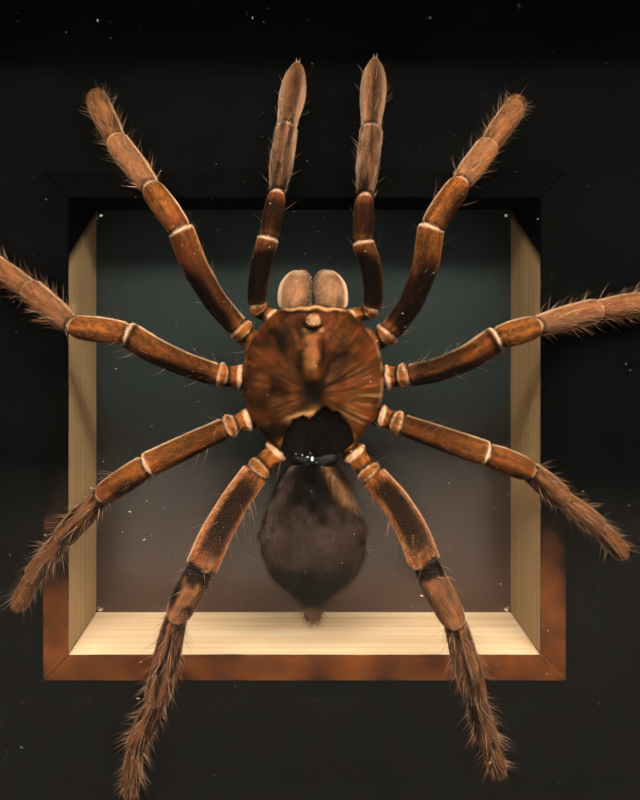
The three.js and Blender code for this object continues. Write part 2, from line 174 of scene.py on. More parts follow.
# ---- how much hair and dust there is ----
GIRTH = 20  # mm round a limb, for counting its hairs
VELVET, OUTER_BRISTLES, INNER_BRISTLES = 7.6, 0.8, 0.1  # a square mm, the last two for full shag
SHAG = {"palp": 0.25, "leg_1": 0.75, "leg_2": 1.0, "leg_3": 1.0, "leg_4": 1.2}
SHIELD_HAIRS, JAW_HAIRS, ABDOMEN_HAIRS, TIP_HAIRS = 26000, 9000, 9000, 1100
DUST_SPECKS = 1200


# ---- colour and nodes ----

def linear(code):
    """An sRGB hex colour as the linear RGBA that a shader takes."""
    parts = np.array([int(code[i:i + 2], 16) for i in (1, 3, 5)]) / 255
    curved = ((parts + 0.055) / 1.055) ** 2.4
    return (*np.where(parts <= 0.04045, parts / 12.92, curved), 1.0)


def add(tree, kind, inputs=None, stops=(), **settings):
    """Adds a node. Inputs are socket values or the sockets that are linked to them, stops the
    colours of a ramp, and settings the node's own properties."""
    made = tree.nodes.new("ShaderNode" + kind)
    for key, value in settings.items():
        setattr(made, key, value)
    for socket, value in (inputs or {}).items():
        if isinstance(value, bpy.types.NodeSocket):
            tree.links.new(value, made.inputs[socket])
        else:
            made.inputs[socket].default_value = value
    for i, (place, code) in enumerate(stops):
        stop = made.color_ramp.elements[i] if i < 2 else made.color_ramp.elements.new(place)
        stop.position = place
        stop.color = linear(code)
    return made


def principled(name, code, roughness, **sockets):
    """A new material with one Principled shader; sockets are its other inputs, _ for a space."""
    made = bpy.data.materials.new(name)
    made.use_nodes = True
    tree = made.node_tree
    shader = tree.nodes["Principled BSDF"]
    shader.inputs["Base Color"].default_value = linear(code)
    shader.inputs["Roughness"].default_value = roughness
    for socket, value in sockets.items():
        shader.inputs[socket.replace("_", " ")].default_value = value
    return made, tree, shader


# ---- meshes ----

def smooth(low, high, value):
    """0 below low, 1 above high and the smooth cubic step between."""
    t = np.clip((value - low) / (high - low), 0, 1)
    return t * t * (3 - 2 * t)


def bump(value, middle, half):
    """A bell that is 1 at the middle and falls to 1/e at half either way."""
    return np.exp(-(((value - middle) / half) ** 2))


def fullness(t, power):
    """How full a body is at t, from -1 to 1 along it: (1 - t squared) to a power."""
    return np.maximum(0, 1 - t * t) ** power


def grain(a, b, seed):
    """Smooth value noise from 0 to 1 over two parameters: drawn values on a lattice of whole steps,
    with a cubic step between them. It repeats after 64 steps."""
    table = np.random.default_rng(seed).uniform(0, 1, (64, 64))
    i, j = np.floor(a).astype(int), np.floor(b).astype(int)
    u, v = smooth(0, 1, a - i), smooth(0, 1, b - j)
    low = table[i % 64, j % 64] * (1 - v) + table[i % 64, (j + 1) % 64] * v
    high = table[(i + 1) % 64, j % 64] * (1 - v) + table[(i + 1) % 64, (j + 1) % 64] * v
    return low * (1 - u) + high * u


def unit(vectors):
    """The vectors at length one."""
    return vectors / np.maximum(np.linalg.norm(vectors, axis=-1, keepdims=True), 1e-9)


def to_case(points):
    """Points of the spider's frame, in mm, as metres in the case: its h runs towards the glass."""
    x, y, h = np.moveaxis(points, -1, 0)
    return np.stack([x, BOARD_FRONT - h, y], -1) * MM


def body_grid(rings, sides):
    """The grid that a closed body is worked out on: t from -1 to 1 along it, its rings closer
    together towards both ends, and the angle round it from the top."""
    turn = np.linspace(0, np.pi, rings + 2)[1:-1]
    return np.meshgrid(-np.cos(turn), np.linspace(0, 2 * np.pi, sides + 1)[:-1], indexing="ij")


def build(name, vertices, triangles, material, tones=None):
    """A smooth mesh piece from metres and triangles; tones are its scalar attributes."""
    mesh = bpy.data.meshes.new(name)
    mesh.vertices.add(len(vertices))
    mesh.vertices.foreach_set("co", vertices.astype(np.float32).ravel())
    mesh.loops.add(triangles.size)
    mesh.loops.foreach_set("vertex_index", triangles.astype(np.int32).ravel())
    mesh.polygons.add(len(triangles))
    mesh.polygons.foreach_set("loop_start", np.arange(0, triangles.size, 3, dtype=np.int32))
    mesh.update(calc_edges=True)
    mesh.shade_smooth()
    for key, values in (tones or {}).items():
        data = mesh.attributes.new(key, "FLOAT", "POINT").data
        data.foreach_set("value", np.ascontiguousarray(values, np.float32).ravel())
    piece = bpy.data.objects.new(name, mesh)
    bpy.context.scene.collection.objects.link(piece)
    mesh.materials.append(material)
    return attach(piece, BODY)


def ring_triangles(rings, sides):
    """The triangles of a grid of rings that is closed by a pole at each end. The poles are the last
    two vertices; each cell of the grid is two triangles."""
    ring, side = np.meshgrid(np.arange(rings - 1), np.arange(sides), indexing="ij")
    here = ring * sides + side
    beside = ring * sides + (side + 1) % sides
    walls = np.stack([here, beside, beside + sides, here, beside + sides, here + sides], -1)
    rim = np.arange(sides)
    after = (rim + 1) % sides
    low = np.stack([np.full(sides, rings * sides), after, rim], -1)
    top = (rings - 1) * sides
    high = np.stack([np.full(sides, rings * sides + 1), top + rim, top + after], -1)
    return np.concatenate([walls.reshape(-1, 3), low, high])


def outward(points, triangles):
    """The triangles, turned over if the volume that they hold comes out negative."""
    a, b, c = (points[triangles[:, k]] for k in range(3))
    held = np.einsum("ij,ij->", a, np.cross(b, c))
    return triangles if held > 0 else triangles[:, ::-1]


def ringed(name, grid, material, tones=None):
    """A closed piece from a grid of points (ring, side, xyz) in mm of the spider's frame. Each end
    is closed by the middle of its ring, and tones are given on the same grid."""
    rings, sides = grid.shape[:2]
    ends = np.stack([grid[0].mean(0), grid[-1].mean(0)])
    points = np.concatenate([grid.reshape(-1, 3), ends])
    spread = {}
    for key, values in (tones or {}).items():
        values = np.broadcast_to(values, (rings, sides))
        spread[key] = np.concatenate([values.ravel(), [values[0].mean(), values[-1].mean()]])
    triangles = outward(points, ring_triangles(rings, sides))
    return build(name, to_case(points), triangles, material, spread)


def hair(
    name, roots, normals, lean, rise, length, width, tones, material, rings=1, sag=0.0, sunk=0.1
):
    """Hairs as closed three-sided spikes, sunk by a little under the surface. Each leaves its root at
    the angle rise over the surface, in the direction lean, and bends by sag of its length towards
    lean as the square of the way along. Its width shrinks evenly to nothing at its tip."""
    count = len(roots)
    roots = roots - sunk * normals
    lean = unit(lean - normals * np.sum(lean * normals, -1, keepdims=True))
    rise, length, width = (np.broadcast_to(v, count)[:, None] for v in (rise, length, width))
    along = unit(normals * np.sin(rise) + lean * np.cos(rise))
    aside = unit(np.cross(along, normals + 0.31 * lean + 0.17))  # any direction that is square to it
    over = np.cross(along, aside)
    rows = []
    shares = np.arange(rings) / rings
    for share in shares:
        middle = roots + length * (along * share + lean * sag * share**2)
        for turn in np.arange(3) * 2 * np.pi / 3:
            spoke = aside * np.cos(turn) + over * np.sin(turn)
            rows.append(middle + spoke * width * (1 - 0.8 * share) / 2)
    rows.append(roots + length * (along + lean * sag))
    points = np.stack(rows, 1)
    points[..., 2] = np.maximum(points[..., 2], BOARD_GAP)
    pattern = [[2, 1, 0]]
    for ring in range(rings - 1):
        for k in range(3):
            a, b = 3 * ring + k, 3 * ring + (k + 1) % 3
            pattern += [[a, b, b + 3], [a, b + 3, a + 3]]
    last, tip = 3 * (rings - 1), 3 * rings
    pattern += [[last + k, last + (k + 1) % 3, tip] for k in range(3)]
    each = tip + 1
    triangles = (np.array(pattern)[None] + np.arange(count)[:, None, None] * each).reshape(-1, 3)
    spread = {key: np.repeat(np.broadcast_to(v, count), each) for key, v in tones.items()}
    spread["tip"] = np.tile(np.append(np.repeat(shares, 3), 1.0), count)
    return build(name, to_case(points.reshape(-1, 3)), triangles, material, spread)


# ---- materials ----

def grained(tree, shader, pattern, stops, strength, relief_mm):
    """Lets a pattern of pores or fibres colour a material and raise its surface. Gives back the
    colour."""
    colour = add(tree, "ValToRGB", {"Fac": pattern}, stops=stops).outputs[0]
    relief = add(tree, "Bump", {"Height": pattern, "Strength": strength, "Distance": relief_mm * MM})
    tree.links.new(colour, shader.inputs["Base Color"])
    tree.links.new(relief.outputs[0], shader.inputs["Normal"])
    return colour


def wood(name, direction, dark, middle, light, grain_mm, roughness, **sockets):
    """Planed softwood or hardwood with its grain along one axis: long noise streaks, grain_mm wide
    and forty times as long, with a fine pore bump."""
    made, tree, shader = principled(name, middle, roughness, **sockets)
    place = add(tree, "TexCoord").outputs["Object"]
    scale = [1 / (grain_mm * MM)] * 3
    scale["xyz".index(direction)] /= 40
    stretched = add(tree, "Mapping", {"Vector": place, "Scale": scale}).outputs[0]
    streak = add(tree, "TexNoise", {"Vector": stretched, "Scale": 1.0, "Detail": 5.0, "Roughness": 0.6})
    figure = [(0.3, dark), (0.7, light), (0.5, middle)]
    return made, tree, shader, grained(tree, shader, streak.outputs[0], figure, 0.25, 0.3)


def walnut(direction):
    """Oiled walnut, planed and eased at the edges: deep brown with near-black figure, a low sheen."""
    made, *_ = wood("oiled_walnut_" + direction, direction, "#1d0f08", "#3a2112", "#5e3a21", 1.4, 0.42)
    return made


def pine(name, direction, dark, middle, light):
    """Planed pine, left bare inside the recess with faint tan lines. Its front edge is stained
    red-brown in blotches, and painted shade darkens it upwards to near black above the recess's
    middle. Painted shadow in the same near black covers the top board and slants down over the
    front top corners of the side boards."""
    made, tree, shader, wood_colour = wood(
        name, direction, dark, middle, light, 3.0, 0.85, Specular_IOR_Level=0.02
    )
    place = add(tree, "TexCoord").outputs["Object"]
    axes = add(tree, "SeparateXYZ", {0: place}).outputs
    blotch = add(tree, "TexNoise", {"Vector": place, "Scale": 1 / (9 * MM), "Detail": 4.0})
    # Painted shade: the red-brown colour of the front edge darkens upwards to near black.
    height = add(tree, "MapRange", {0: axes[2], 1: 0.1, 2: 0.15, 3: 0.0, 4: 0.75}).outputs[0]
    tone = add(tree, "Math", {0: height, 1: blotch.outputs[0]}, operation="ADD").outputs[0]
    stain_and_shade = add(
        tree, "ValToRGB", {"Fac": tone},
        stops=[(0.35, "#50290f"), (1.0, "#020202"), (0.55, "#351909"), (0.8, "#0f0704")],
    ).outputs[0]
    wander = add(tree, "Math", {0: blotch.outputs[0], 1: 1.5 * MM}, operation="MULTIPLY").outputs[0]
    depth = add(tree, "Math", {0: axes[1], 1: wander}, operation="SUBTRACT").outputs[0]
    front = add(tree, "MapRange", {0: depth, 1: -0.2 * MM, 2: 0.3 * MM, 3: 1.0, 4: 0.0}).outputs[0]
    # Painted shadow: near black over the top board and the side boards' front top corners, above a line
    # that slants down towards the front.
    slope = (PAINTED_SHADOW_BACK - PAINTED_SHADOW_FRONT) / RECESS_DEEP
    rise = add(tree, "Math", {0: axes[1], 1: slope}, operation="MULTIPLY").outputs[0]
    above = add(tree, "Math", {0: axes[2], 1: rise}, operation="SUBTRACT").outputs[0]
    first = PAINTED_SHADOW_FRONT * MM
    shadow_corner = add(tree, "MapRange", {0: above, 1: first - 2 * MM, 2: first + 2 * MM}).outputs[0]
    cover = add(tree, "Math", {0: front, 1: shadow_corner}, operation="MAXIMUM").outputs[0]
    stained = add(tree, "Mix", {0: cover, 6: wood_colour, 7: stain_and_shade}, data_type="RGBA").outputs[2]
    tree.links.new(stained, shader.inputs["Base Color"])
    return made


def black_card():
    """Black mounting board, matt with a faint fibre that breaks up what little light it returns."""
    made, tree, shader = principled("black_mounting_board", "#040405", 0.9, Specular_IOR_Level=0.03)
    place = add(tree, "TexCoord").outputs["Object"]
    fibre = add(tree, "TexNoise", {"Vector": place, "Scale": 1 / (0.7 * MM), "Detail": 4.0}).outputs[0]
    grained(tree, shader, fibre, [(0.35, "#010101"), (0.75, "#050506")], 0.1, 0.1)
    return made


def clear_glass():
    """Picture glass with an anti-reflection coat: clear, polished, and it gives back little of the
    room, as its low IOR says. Shadow rays pass it, so that light reaches what is behind."""
    made, tree, shader = principled(
        "coated_picture_glass", "#f7fbfa", 0.0, Transmission_Weight=1.0, IOR=1.12
    )
    path = add(tree, "LightPath").outputs["Is Shadow Ray"]
    through = add(tree, "BsdfTransparent", {0: linear("#eef4f2")}).outputs[0]
    both = add(tree, "MixShader", {0: path, 1: shader.outputs[0], 2: through}).outputs[0]
    tree.links.new(both, tree.nodes["Material Output"].inputs["Surface"])
    return made


def smoked_pane():
    """The smoked pane behind the recess: dark grey-green and glossy, warmer and lighter near its foot
    from dust and from painted light bounced off the pale bottom board.
    """
    made, tree, shader = principled("smoked_glass_pane", "#232b2a", 0.16, Specular_IOR_Level=0.3)
    place = add(tree, "TexCoord").outputs["Object"]
    axes = add(tree, "SeparateXYZ", {0: place}).outputs
    cloud = add(tree, "TexNoise", {"Vector": place, "Scale": 1 / (28 * MM), "Detail": 3.0}).outputs[0]
    drift = add(tree, "MapRange", {0: cloud, 3: -0.02, 4: 0.02}).outputs[0]
    level = add(tree, "Math", {0: axes[2], 1: drift}, operation="ADD").outputs[0]
    share = add(tree, "MapRange", {0: level, 1: 0.078, 2: 0.222}).outputs[0]
    # Warmer and lighter towards the foot: dust, and painted light bounced off the pale bottom board.
    ramp = add(
        tree, "ValToRGB", {"Fac": share},
        stops=[(0.0, "#422f28"), (1.0, "#262d2e"), (0.25, "#2e2320"), (0.5, "#1c2021")],
    )
    tree.links.new(ramp.outputs[0], shader.inputs["Base Color"])
    return made


def hardboard():
    """Tempered hardboard at the back: mid brown, pressed fibres, dull."""
    made, tree, shader = principled("tempered_hardboard", "#6d4a2e", 0.7)
    place = add(tree, "TexCoord").outputs["Object"]
    fibre = add(
        tree, "TexNoise", {"Vector": place, "Scale": 1 / (1.2 * MM), "Detail": 6.0, "Roughness": 0.7}
    ).outputs[0]
    grained(tree, shader, fibre, [(0.3, "#4c3220"), (0.7, "#835b3a")], 0.4, 0.15)
    return made


def velvet(name, deep, brown, warm, pale, black, sheen):
    """Short dense hair: a warm brown that streaks lengthwise and reddens in blotches, cream at the
    rims of the joints and where a highlight is painted on, and near black where it is worn to the
    skin and where shade is painted on. A little sheen gives the light edge that velvet has."""
    made, tree, shader = principled(
        name, brown, 0.7, Sheen_Weight=sheen, Sheen_Roughness=0.35, Sheen_Tint=linear(pale),
        Specular_IOR_Level=0.03,
    )
    tones = {
        key: add(tree, "Attribute", attribute_name=key).outputs["Fac"]
        for key in ("streak", "pale", "dark", "tip")
    }
    ramp = add(
        tree, "ValToRGB", {"Fac": tones["streak"]}, stops=[(0.0, deep), (1.0, warm), (0.5, brown)]
    ).outputs[0]
    end = add(tree, "Math", {0: tones["tip"], 1: 0.35}, operation="MULTIPLY").outputs[0]
    place = add(tree, "TexCoord").outputs["Object"]
    blotch = add(tree, "TexNoise", {"Vector": place, "Scale": 1 / (7 * MM), "Detail": 3.0}).outputs[0]
    blush = add(tree, "MapRange", {0: blotch, 1: 0.5, 2: 0.7, 3: 0.0, 4: 0.45}).outputs[0]
    colour = ramp
    for share, code in ((end, warm), (blush, "#5e2413"), (tones["pale"], pale), (tones["dark"], black)):
        colour = add(tree, "Mix", {0: share, 6: colour, 7: linear(code)}, data_type="RGBA").outputs[2]
    tree.links.new(colour, shader.inputs["Base Color"])
    return made


def shield_velvet():
    """The shield's close pelt. Where the shield is broken open, what is under it is bare, black and
    smooth."""
    made = velvet("shield_pelt", "#110703", "#371c09", "#613112", "#b98a63", "#030201", 0.03)
    tree = made.node_tree
    shader = tree.nodes["Principled BSDF"]
    open_part = add(tree, "Attribute", attribute_name="open").outputs["Fac"]
    gloss = add(tree, "MapRange", {0: open_part, 3: 0.62, 4: 0.16}).outputs[0]
    tree.links.new(gloss, shader.inputs["Roughness"])
    covered = shader.inputs["Base Color"].links[0].from_socket
    opened = add(tree, "Mix", {0: open_part, 6: covered, 7: linear("#060404")}, data_type="RGBA").outputs[2]
    tree.links.new(opened, shader.inputs["Base Color"])
    return made


def dried_skin():
    """The abdomen's dried skin: smoky dark brown, blotched grey, black where it is crushed and a
    purplish grey where it is thin enough for light to pass, with hardly any gloss."""
    made, tree, shader = principled(
        "dried_skin", "#1d1614", 0.6, Subsurface_Weight=0.25, Subsurface_Radius=(0.003, 0.0012, 0.0008),
        Subsurface_Scale=1.0, Specular_IOR_Level=0.01,
    )
    place = add(tree, "TexCoord").outputs["Object"]
    blotch = add(tree, "TexNoise", {"Vector": place, "Scale": 1 / (6 * MM), "Detail": 4.0}).outputs[0]
    ramp = add(
        tree, "ValToRGB", {"Fac": blotch}, stops=[(0.3, "#080504"), (0.75, "#2a1f1d"), (0.52, "#120b09")]
    ).outputs[0]
    colour = ramp
    for key, code in (("thin", "#57443f"), ("tan", "#6a4426"), ("burnt", "#040303")):
        share = add(tree, "Attribute", attribute_name=key).outputs["Fac"]
        colour = add(tree, "Mix", {0: share, 6: colour, 7: linear(code)}, data_type="RGBA").outputs[2]
    tree.links.new(colour, shader.inputs["Base Color"])
    grit = add(tree, "TexNoise", {"Vector": place, "Scale": 1 / (0.8 * MM), "Detail": 3.0}).outputs[0]
    relief = add(tree, "Bump", {"Height": grit, "Strength": 0.35, "Distance": 0.25 * MM}).outputs[0]
    tree.links.new(relief, shader.inputs["Normal"])
    return made


# The boards of each set by the axis that their grain runs along. The lining's side boards get a
# darker copy of its pine as painted shade, its top and bottom boards the lighter one.
CASE = {axis: walnut(axis) for axis in "xz"}
LINER = {
    "x": pine("pine_lit", "x", "#d8b08a", "#e6c4a2", "#efd6b8"),
    "z": pine("pine_painted_shade", "z", "#8d7052", "#957a5b", "#9d8464"),
}
BATTEN = {
    axis: wood("rough_pine_" + axis, axis, "#a87f4d", "#c9a26c", "#ddbb88", 2.6, 0.75)[0] for axis in "xz"
}
BOARD = black_card()
GLASS = clear_glass()
PANE = smoked_pane()
COVER = hardboard()
LIMB_VELVET = velvet("limb_pelt", "#190a04", "#4a2810", "#7d451b", "#d9b094", "#030202", 0.02)
SHIELD_VELVET = shield_velvet()
SKIN = dried_skin()
# Round pin heads, polished: they mirror the lamps.
STEEL = principled("polished_steel", "#e4e4e0", 0.12, Metallic=1.0)[0]
# The fangs: black horn with a hard shine.
HORN = principled("black_horn", "#0d0705", 0.18, Specular_IOR_Level=0.6)[0]
# The claws: pale horn that catches the light as small bright points.
CLAW = principled("pale_claw_horn", "#b9a48c", 0.15, Specular_IOR_Level=0.7)[0]
# Dried matter between the shield and the abdomen: black, shining as if wet.
CRUST = principled("dried_black_crust", "#060505", 0.22, Specular_IOR_Level=0.25)[0]
# Pale beads: grey-white and glossy, a painted highlight for the wet glints of the crust.
HIGHLIGHT_BEAD_WHITE = principled("painted_highlight_white", "#a9afb2", 0.12, Specular_IOR_Level=0.8)[0]
# Dried eyes: dull brown, no brighter than the mound round them.
EYE = principled("dried_eye_lens", "#8a6a58", 0.3, Specular_IOR_Level=0.3)[0]
# Dust: matt, near white.
DUST = principled("dust_and_lint", "#d8d8d4", 0.9)[0]


def paint(node, material):
    """Gives a CAD node its material in every slot."""
    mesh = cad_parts[node].data
    mesh.materials.clear()
    mesh.materials.append(material)


def finish_case():
    """The case keeps its CAD shapes; each board's grain runs along its length."""
    for side, axis in (("top", "x"), ("bottom", "x"), ("left", "z"), ("right", "z")):
        paint("frame_rail_" + side, CASE[axis])
        paint("liner_" + side, LINER[axis])
        paint("batten_" + side, BATTEN[axis])
    paint("backing_board", BOARD)
    paint("front_glass", GLASS)
    paint("recess_back", PANE)
    paint("rear_cover", COVER)
    for i in range(4):
        paint(f"recess_pin_{i + 1}", STEEL)
    for side in ("left", "right"):
        paint("fang_" + side, HORN)
        paint("spinneret_" + side, SKIN)


# ---- the shield ----

def shield_narrowing(t):
    """The share of its width that the shield has lost at t: a power of t to each end."""
    return np.where(t > 0, 0.42 * np.abs(t) ** 2.6, 0.5 * np.abs(t) ** 2.2)


def shield_point(t, angle):
    """A point of the shield: t along it, angle round it from the top. Its top is a dome that is lower
    behind, with a dip at the fovea, furrows that radiate from there, a ridge from there to the eyes
    and a mound that carries them. Where it is broken open behind, it falls in."""
    c = SHIELD
    u, w = np.sin(angle), np.cos(angle)
    end = fullness(t, SHIELD_END)
    x = u * c["half_wide"] * (1 - shield_narrowing(t)) * end
    across = (x / c["half_wide"]) ** 2
    dome = c["dome"] * (0.62 + 0.38 * smooth(-0.7, 0.7, t)) * (1 - 0.25 * across)
    dip = FOVEA["depth"] * bump(x, 0, FOVEA["half_wide"]) * bump(t, FOVEA["at"], FOVEA["long"])
    forward = t * c["half_long"]
    mound = EYES["rise"] * eye_mound(x, forward)
    relief = shield_relief(x, forward)
    top = dome * end**0.8 + mound * end - dip + relief * end
    top -= BREAK_DEEP * broken(x, forward) * end
    h = c["rim"] + np.where(w > 0, w * top, w * c["belly"] * end)
    return np.stack([MIDLINE + x, c["middle"] + forward, h], -1)


def eye_mound(x, forward):
    """From 0 to 1: the mound that carries the eyes, round in plan with steep sides: e to the minus
    fourth power of the distance over its half width."""
    across, along = x / EYES["half_wide"], (forward - EYES["forward"]) / EYES["half_long"]
    return np.exp(-((across**2 + along**2) ** 2))


def from_fovea(x, forward):
    """The distance from the fovea, and the heading from it in degrees either side of the head."""
    back = forward - FOVEA["at"] * SHIELD["half_long"]
    return np.hypot(x, back), np.degrees(np.arctan2(np.abs(x), back))


def furrows(x, forward):
    """From 0 to 1: the furrows that radiate from the fovea, one bell across each heading, and the
    deeper ones that part the head from the rest."""
    far, heading = from_fovea(x, forward)
    heading = heading + 5 * (grain(far / 5, np.sign(x) * 3 + 9, 301) - 0.5)
    headings = np.array([31, 60, 84, 112, 140])
    widths = np.array([5, 4, 5, 4, 6])
    depths = np.array([1.0, 0.45, 0.75, 0.4, 0.5])
    bells = depths * np.exp(-(((heading[..., None] - headings) / widths) ** 2))
    return bells.sum(-1) * smooth(1.5, 5, far) * (1 - smooth(9, 16, far))


def rays(x, forward, across, seed):
    """Noise from 0 to 1 that is drawn out along the rays from the fovea, across degrees wide."""
    far, heading = from_fovea(x, forward)
    return grain(far / 5 + 20, np.sign(x) * heading / across + 32, seed)


def shield_relief(x, forward):
    """The furrows' depth, fine wrinkles between them and the midline ridge's height, in mm."""
    ridge = 0.55 * bump(x, 0, 1.7) * smooth(-1, 1.5, forward) * (1 - smooth(12, 14, forward))
    far, _ = from_fovea(x, forward)
    wrinkles = (rays(x, forward, 5.5, 302) - 0.5) * smooth(2, 7, far)
    return ridge - 0.5 * furrows(x, forward) + 0.4 * wrinkles


def broken(x, forward):
    """From 0 to 1: the broken patch behind. Its front edge runs through the points of BREAK, with a
    fine ripple."""
    edge = np.interp(x, *np.transpose(BREAK)) + 0.3 * np.sin(2.1 * x) - 0.2 * np.sin(5 * x)
    return smooth(-0.35, 0.35, edge - forward)


def shield_tones(t, angle, points):
    """The shield's tones. Pale: its front rim, the eye mound and the brow behind it, a little of the
    ridge, some rays, the torn edge and the outer margin. Dark: the fovea, the furrows, the temples,
    a crescent behind the eyes, which is painted shade under their mound, both sides of the ridge,
    blotches, and more on the left. Streak: noise along the rays from the fovea, and mottling on
    the head."""
    x = points[..., 0] - MIDLINE
    forward = points[..., 1] - SHIELD["middle"]
    far, _ = from_fovea(x, forward)
    opened = broken(x, forward)

    wander = 1.1 * (grain(forward / 1.1 + 9, np.sign(x) + 5, 307) - 0.5)
    ridge = smooth(2.3, 0.8, np.abs(x + 0.4) + wander) * smooth(2.6, 5, forward + wander)
    ridge *= 1 - smooth(12, 13.6, forward)
    arch = 19.6 + 0.5 * bump(x, 0, 2.5) + 0.2 * np.sin(1.3 * x)
    rim = bump(forward, arch, 0.42) * smooth(10.5, 9, np.abs(x)) * smooth(-0.3, 0.4, np.cos(angle))
    mound = smooth(0.3, 0.85, eye_mound(x, forward)) * smooth(-1.5, -0.7, forward - EYES["forward"])
    brow = bump(np.abs(x), 2.2, 0.7) * bump(forward, EYES["forward"] - 2.3, 0.6)
    crest = np.where(x > 0, 0.17, 0.09) * smooth(0.62, 0.85, rays(x, forward, 2.2, 306))
    crest = crest * smooth(3, 6, far) * smooth(6, 0, forward)
    torn = bump(forward, -8.2 - 0.02 * (x - 2) ** 2, 0.7) * smooth(8, 5, np.abs(x + 1))
    margin = smooth(0.955, 0.99, np.abs(np.sin(angle))) * smooth(-0.7, -0.3, t)
    margin *= smooth(0.25, 0.7, grain(forward / 1.9 + 40, np.sign(x) + 7, 310))
    mound *= 0.25 + 0.5 * grain(x + 20, forward, 312)
    pale = 0.09 * ridge + 0.8 * rim + np.where(x > 0, 0.4, 0.12) * margin + mound
    pale += 0.5 * brow + crest + 0.3 * torn

    temple = bump(x, -8.2, 2.2) * bump(forward, 11.2, 3.8)
    temple += 0.6 * bump(x, 8, 2.6) * bump(forward, 9, 3.4)
    temple += 0.7 * bump(x, -12, 1.6) * bump(forward, 13.5, 1.8)
    pit = np.exp(-(((x / 3.6) ** 2 + ((forward + 2.2) / 4.2) ** 2) ** 1.5))
    blotch = grain(x / 3.4 + 30, forward / 3.4 + 30, 303)
    dark = 0.97 * pit + 0.3 * furrows(x, forward) + 0.9 * temple + 0.6 * smooth(0.35, 0.85, blotch) - 0.1
    dark += 0.26 * smooth(4, -6, x) + 0.45 * bump(x, -12, 5) * bump(forward, -9, 6)
    # Painted shade: a dark crescent under the eye mound, just behind the eyes.
    crescent = EYES["forward"] - 2.0 + 0.16 * x * x
    dark += 0.97 * smooth(2.9, 2.1, np.abs(x)) * bump(forward, crescent, 0.6)
    beside = bump(x, 2.7, 0.7) + bump(x, -3.4, 0.7)
    dark += 0.35 * beside * smooth(3, 6, forward) * smooth(14, 12, forward)
    dark += 0.5 * bump(forward, arch - 1.0, 0.35) * smooth(9, 7, np.abs(x))
    dark *= 1 - 0.85 * np.clip(ridge + rim + torn, 0, 1)

    head = smooth(1, 5, forward) * smooth(10.5, 8, np.abs(x))
    furred = 0.5 * (rays(x, forward, 3.4, 304) - 0.5) + 0.45 * (rays(x, forward, 1.3, 305) - 0.5)
    mottled = 0.6 * (grain(x / 0.9 + 30, forward / 0.7 + 30, 308) - 0.5)
    mottled = mottled + 0.4 * (rays(x, forward, 4, 309) - 0.5)
    streak = 0.45 + furred * (1 - head) + mottled * head
    return {
        "pale": np.where(opened > 0.3, 0, np.clip(pale, 0, 1)),
        "dark": np.clip(dark, 0, 0.96),
        "streak": np.clip(streak + 0.05 + 0.28 * ridge, 0, 1),
        "open": opened,
    }


def normals_of(place, t, angle, step_t, step_angle):
    """The outward normals of a surface function, by the cross product of its central differences."""
    along = place(t + step_t, angle) - place(t - step_t, angle)
    around = place(t, angle + step_angle) - place(t, angle - step_angle)
    return unit(np.cross(around, along))


def make_shield():
    """The shield, a grid of shield_point, and its short hair, combed away from the fovea."""
    t, angle = body_grid(169, 200)
    grid = shield_point(t, angle)
    piece = ringed("shield", grid, SHIELD_VELVET, shield_tones(t, angle, grid))
    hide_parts("carapace")

    draw = np.random.default_rng(11)
    count = SHIELD_HAIRS
    t = -np.cos(draw.uniform(0.02, 0.98, count) * np.pi)
    angle = draw.uniform(-0.56, 0.56, count) * np.pi
    keep = draw.uniform(0, 1, count) < np.sqrt(1 - t * t) ** 0.8
    t, angle = t[keep], angle[keep]
    roots = shield_point(t, angle)
    tones = shield_tones(t, angle, roots)
    keep = tones["open"] < 0.25
    t, angle, roots = t[keep], angle[keep], roots[keep]
    tones = {key: values[keep] for key, values in tones.items()}
    normals = normals_of(shield_point, t, angle, 0.003, 0.01)
    start = np.array([MIDLINE, SHIELD["middle"] + FOVEA["at"] * SHIELD["half_long"], SHIELD["rim"] + 6])
    lean = unit(roots - start) + draw.normal(0, 0.22, roots.shape)
    count = len(t)
    tones["streak"] = np.clip(tones["streak"] + draw.normal(0, 0.3, count), 0, 1)
    tones["open"] = np.zeros(count)
    hair(
        "shield_hair", roots, normals, lean, draw.uniform(0.15, 0.45, count),
        draw.uniform(0.5, 1.0, count), 0.11, tones, SHIELD_VELVET,
    )


def beads(name, seats, material):
    """Round beads as one piece. Each seat is a bead's middle (x, y, h) and its radii across, along
    and over the board; the bead is a sphere of rings, stretched by them."""
    rings, sides = 7, 12
    tilt = np.linspace(0, np.pi, rings + 2)[1:-1]
    turn = np.linspace(0, 2 * np.pi, sides + 1)[:-1]
    tilt, turn = np.meshgrid(tilt, turn, indexing="ij")
    ball = np.stack([np.sin(tilt) * np.cos(turn), np.sin(tilt) * np.sin(turn), np.cos(tilt)], -1)
    ball = np.concatenate([ball.reshape(-1, 3), [[0, 0, 1], [0, 0, -1]]])
    own = outward(ball, ring_triangles(rings, sides))
    points = np.concatenate([np.array(middle) + ball * radii for middle, radii in seats])
    triangles = np.concatenate([own + len(ball) * i for i in range(len(seats))])
    build(name, to_case(points), triangles, material)


def make_eyes():
    """Eight eyes, half sunk in their mound: two round ones in front, three small ones on each side."""
    places = [(-0.6, 0.1, 0.4), (0.6, 0.1, 0.4)]
    for side in (-1, 1):
        places += [(side * 1.3, 0.8, 0.3), (side * 1.5, -0.2, 0.28), (side * 1.0, -0.7, 0.22)]
    seats = []
    for x, y, radius in places:
        t = (EYES["forward"] + y) / SHIELD["half_long"]
        reach = SHIELD["half_wide"] * (1 - shield_narrowing(t)) * fullness(t, SHIELD_END)
        seats.append((shield_point(np.array(t), np.arcsin(x / reach)) - [0, 0, 0.2 * radius], radius))
    beads("eyes", seats, EYE)


# ---- the jaws, the plate underneath and the waist ----

